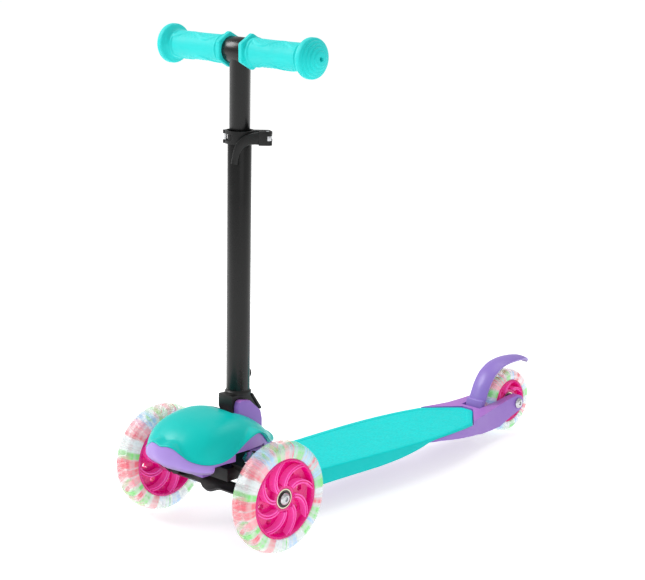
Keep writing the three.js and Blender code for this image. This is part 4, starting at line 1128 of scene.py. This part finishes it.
# ---------------------------------------------------------------- steering, bolts and small parts
class SCOOTER_OT_steering(bpy.types.Operator):
    """Makes the front truck, the steering knuckles and the tie rod."""

    bl_idname = "scooter.steering"
    bl_label = "Steering"

    def execute(self, context):
        rounded_copy("front_truck", "truck_beam", black_plastic(), 0.8)
        rounded_copy("steering_rod", "tie_rod", black_plastic(), 0.8)
        for side in ("left", "right"):
            rounded_copy(f"steering_knuckle_{side}", f"knuckle_{side}", black_plastic(), 0.8)
        return {"FINISHED"}


class SCOOTER_OT_fasteners(bpy.types.Operator):
    """Rounds the bolts, nuts and pins and finishes them and the springs in steel."""

    bl_idname = "scooter.fasteners"
    bl_label = "Fasteners"

    def execute(self, context):
        bright = steel("plated_steel", (0.62, 0.63, 0.65), 0.25)
        rounded = (
            "king_bolt_left", "king_bolt_right", "front_left_axle_bolt", "front_right_axle_bolt",
            "rear_axle_bolt", "rear_axle_nut", "tie_pin_left", "tie_pin_right", "clamp_bolt", "clamp_nut",
            "lever_pin",
        )
        for node in rounded:
            rounded_copy(node + "_turned", node, bright, 0.3)
        for node in frame["nodes"]:
            if SLOT_OF[node] in ("steel", "black_plastic"):
                finish_node(node, bright if SLOT_OF[node] == "steel" else black_plastic())
        return {"FINISHED"}


# ---------------------------------------------------------------- stage
class SCOOTER_OT_stage(bpy.types.Operator):
    """Lays the pale floor and sets the lamps and the camera."""

    bl_idname = "scooter.stage"
    bl_label = "Stage"

    def execute(self, context):
        scene = context.scene
        self.floor()
        self.lamps(scene)
        self.camera(scene)
        return {"FINISHED"}

    def floor(self):
        look = Finish("floor_paper")
        tone = look.mix(look.noise(3.0, 2.0), (0.80, 0.805, 0.80, 1), (0.82, 0.825, 0.82, 1))
        look.drive("Base Color", tone)
        look.set(Roughness=0.8, Specular_IOR_Level=0.0, Emission_Color=(1, 1, 1, 1), Emission_Strength=0.56)
        bm = bmesh.new()
        bmesh.ops.create_grid(bm, x_segments=1, y_segments=1, size=12)
        floor = add_object("floor", bm)
        floor.data.materials.append(look.material)

    def lamps(self, scene):
        world = bpy.data.worlds.new("studio")
        world.use_nodes = True
        tree = world.node_tree
        background = tree.nodes["Background"]
        background.inputs["Color"].default_value = (1, 1, 1, 1)
        # The backdrop shows white, and lights the scooter a little less than that.
        seen = tree.nodes.new("ShaderNodeLightPath").outputs["Is Camera Ray"]
        strength = tree.nodes.new("ShaderNodeMapRange")
        strength.inputs["To Min"].default_value, strength.inputs["To Max"].default_value = 0.56, 1.0
        tree.links.new(seen, strength.inputs["Value"])
        tree.links.new(strength.outputs["Result"], background.inputs["Strength"])
        scene.world = world
        scene.view_settings.view_transform = "Standard"
        aim = Vector((0, 0, 0.15))
        for name, at, size, power in (
            ("key_softbox", (-1.7, -1.1, 1.7), 1.0, 34),
            ("fill_softbox", (2.2, -1.0, 1.2), 1.6, 4),
            ("top_softbox", (-0.2, 0.9, 2.4), 1.6, 14),
        ):
            data = bpy.data.lights.new(name, "AREA")
            data.shape, data.size, data.energy = "SQUARE", size, power
            lamp = bpy.data.objects.new(name, data)
            lamp.location = at
            lamp.rotation_euler = (aim - Vector(at)).to_track_quat("-Z", "Y").to_euler()
            scene.collection.objects.link(lamp)

    def camera(self, scene):
        azimuth, elevation, roll = math.radians(44.35), math.radians(13.68), math.radians(0.13)
        distance, aim = 2.02262, Vector((0, -0.06566, 0.23828))
        flat = math.cos(elevation)
        back = Vector((math.sin(azimuth) * flat, -math.cos(azimuth) * flat, math.sin(elevation)))
        right = Vector((math.cos(azimuth), math.sin(azimuth), 0))
        up = back.cross(right)
        turned_right = math.cos(roll) * right + math.sin(roll) * up
        turned_up = -math.sin(roll) * right + math.cos(roll) * up
        data = bpy.data.cameras.new("camera")
        data.sensor_width, data.lens = 36.0, 101.26
        data.clip_end = 100
        camera = bpy.data.objects.new("camera", data)
        turn = Matrix((turned_right, turned_up, back)).transposed().to_4x4()
        camera.matrix_world = Matrix.Translation(aim + back * distance) @ turn
        scene.collection.objects.link(camera)
        scene.camera = camera


# ---------------------------------------------------------------- panel and registration
STEPS = (
    SCOOTER_OT_hood, SCOOTER_OT_bumper, SCOOTER_OT_deck, SCOOTER_OT_frame, SCOOTER_OT_fender, SCOOTER_OT_hubs,
    SCOOTER_OT_tyres, SCOOTER_OT_bearings, SCOOTER_OT_stem, SCOOTER_OT_clamp, SCOOTER_OT_grips,
    SCOOTER_OT_steering, SCOOTER_OT_fasteners, SCOOTER_OT_stage,
)


class SCOOTER_PT_panel(bpy.types.Panel):
    """Lists the scooter's pieces, in the order in which they are made."""

    bl_label = "Scooter"
    bl_idname = "SCOOTER_PT_panel"
    bl_space_type = "VIEW_3D"
    bl_region_type = "UI"
    bl_category = "Scooter"

    def draw(self, context):
        column = self.layout.column(align=True)
        for step in STEPS:
            column.operator(step.bl_idname)
        for group in (context.scene.scooter_sizes, context.scene.scooter_colours):
            box = self.layout.box()
            for key in group.__annotations__:
                box.prop(group, key)


CLASSES = (ScooterSizes, ScooterColours, *STEPS, SCOOTER_PT_panel)


def register():
    for cls in CLASSES:
        bpy.utils.register_class(cls)
    bpy.types.Scene.scooter_sizes = PointerProperty(type=ScooterSizes)
    bpy.types.Scene.scooter_colours = PointerProperty(type=ScooterColours)


def unregister():
    del bpy.types.Scene.scooter_colours
    del bpy.types.Scene.scooter_sizes
    for cls in reversed(CLASSES):
        bpy.utils.unregister_class(cls)


def main():
    register()
    for step in STEPS:
        group, name = step.bl_idname.split(".")
        getattr(getattr(bpy.ops, group), name)()
    bpy.context.view_layer.update()


if __name__ == "__main__":
    main()
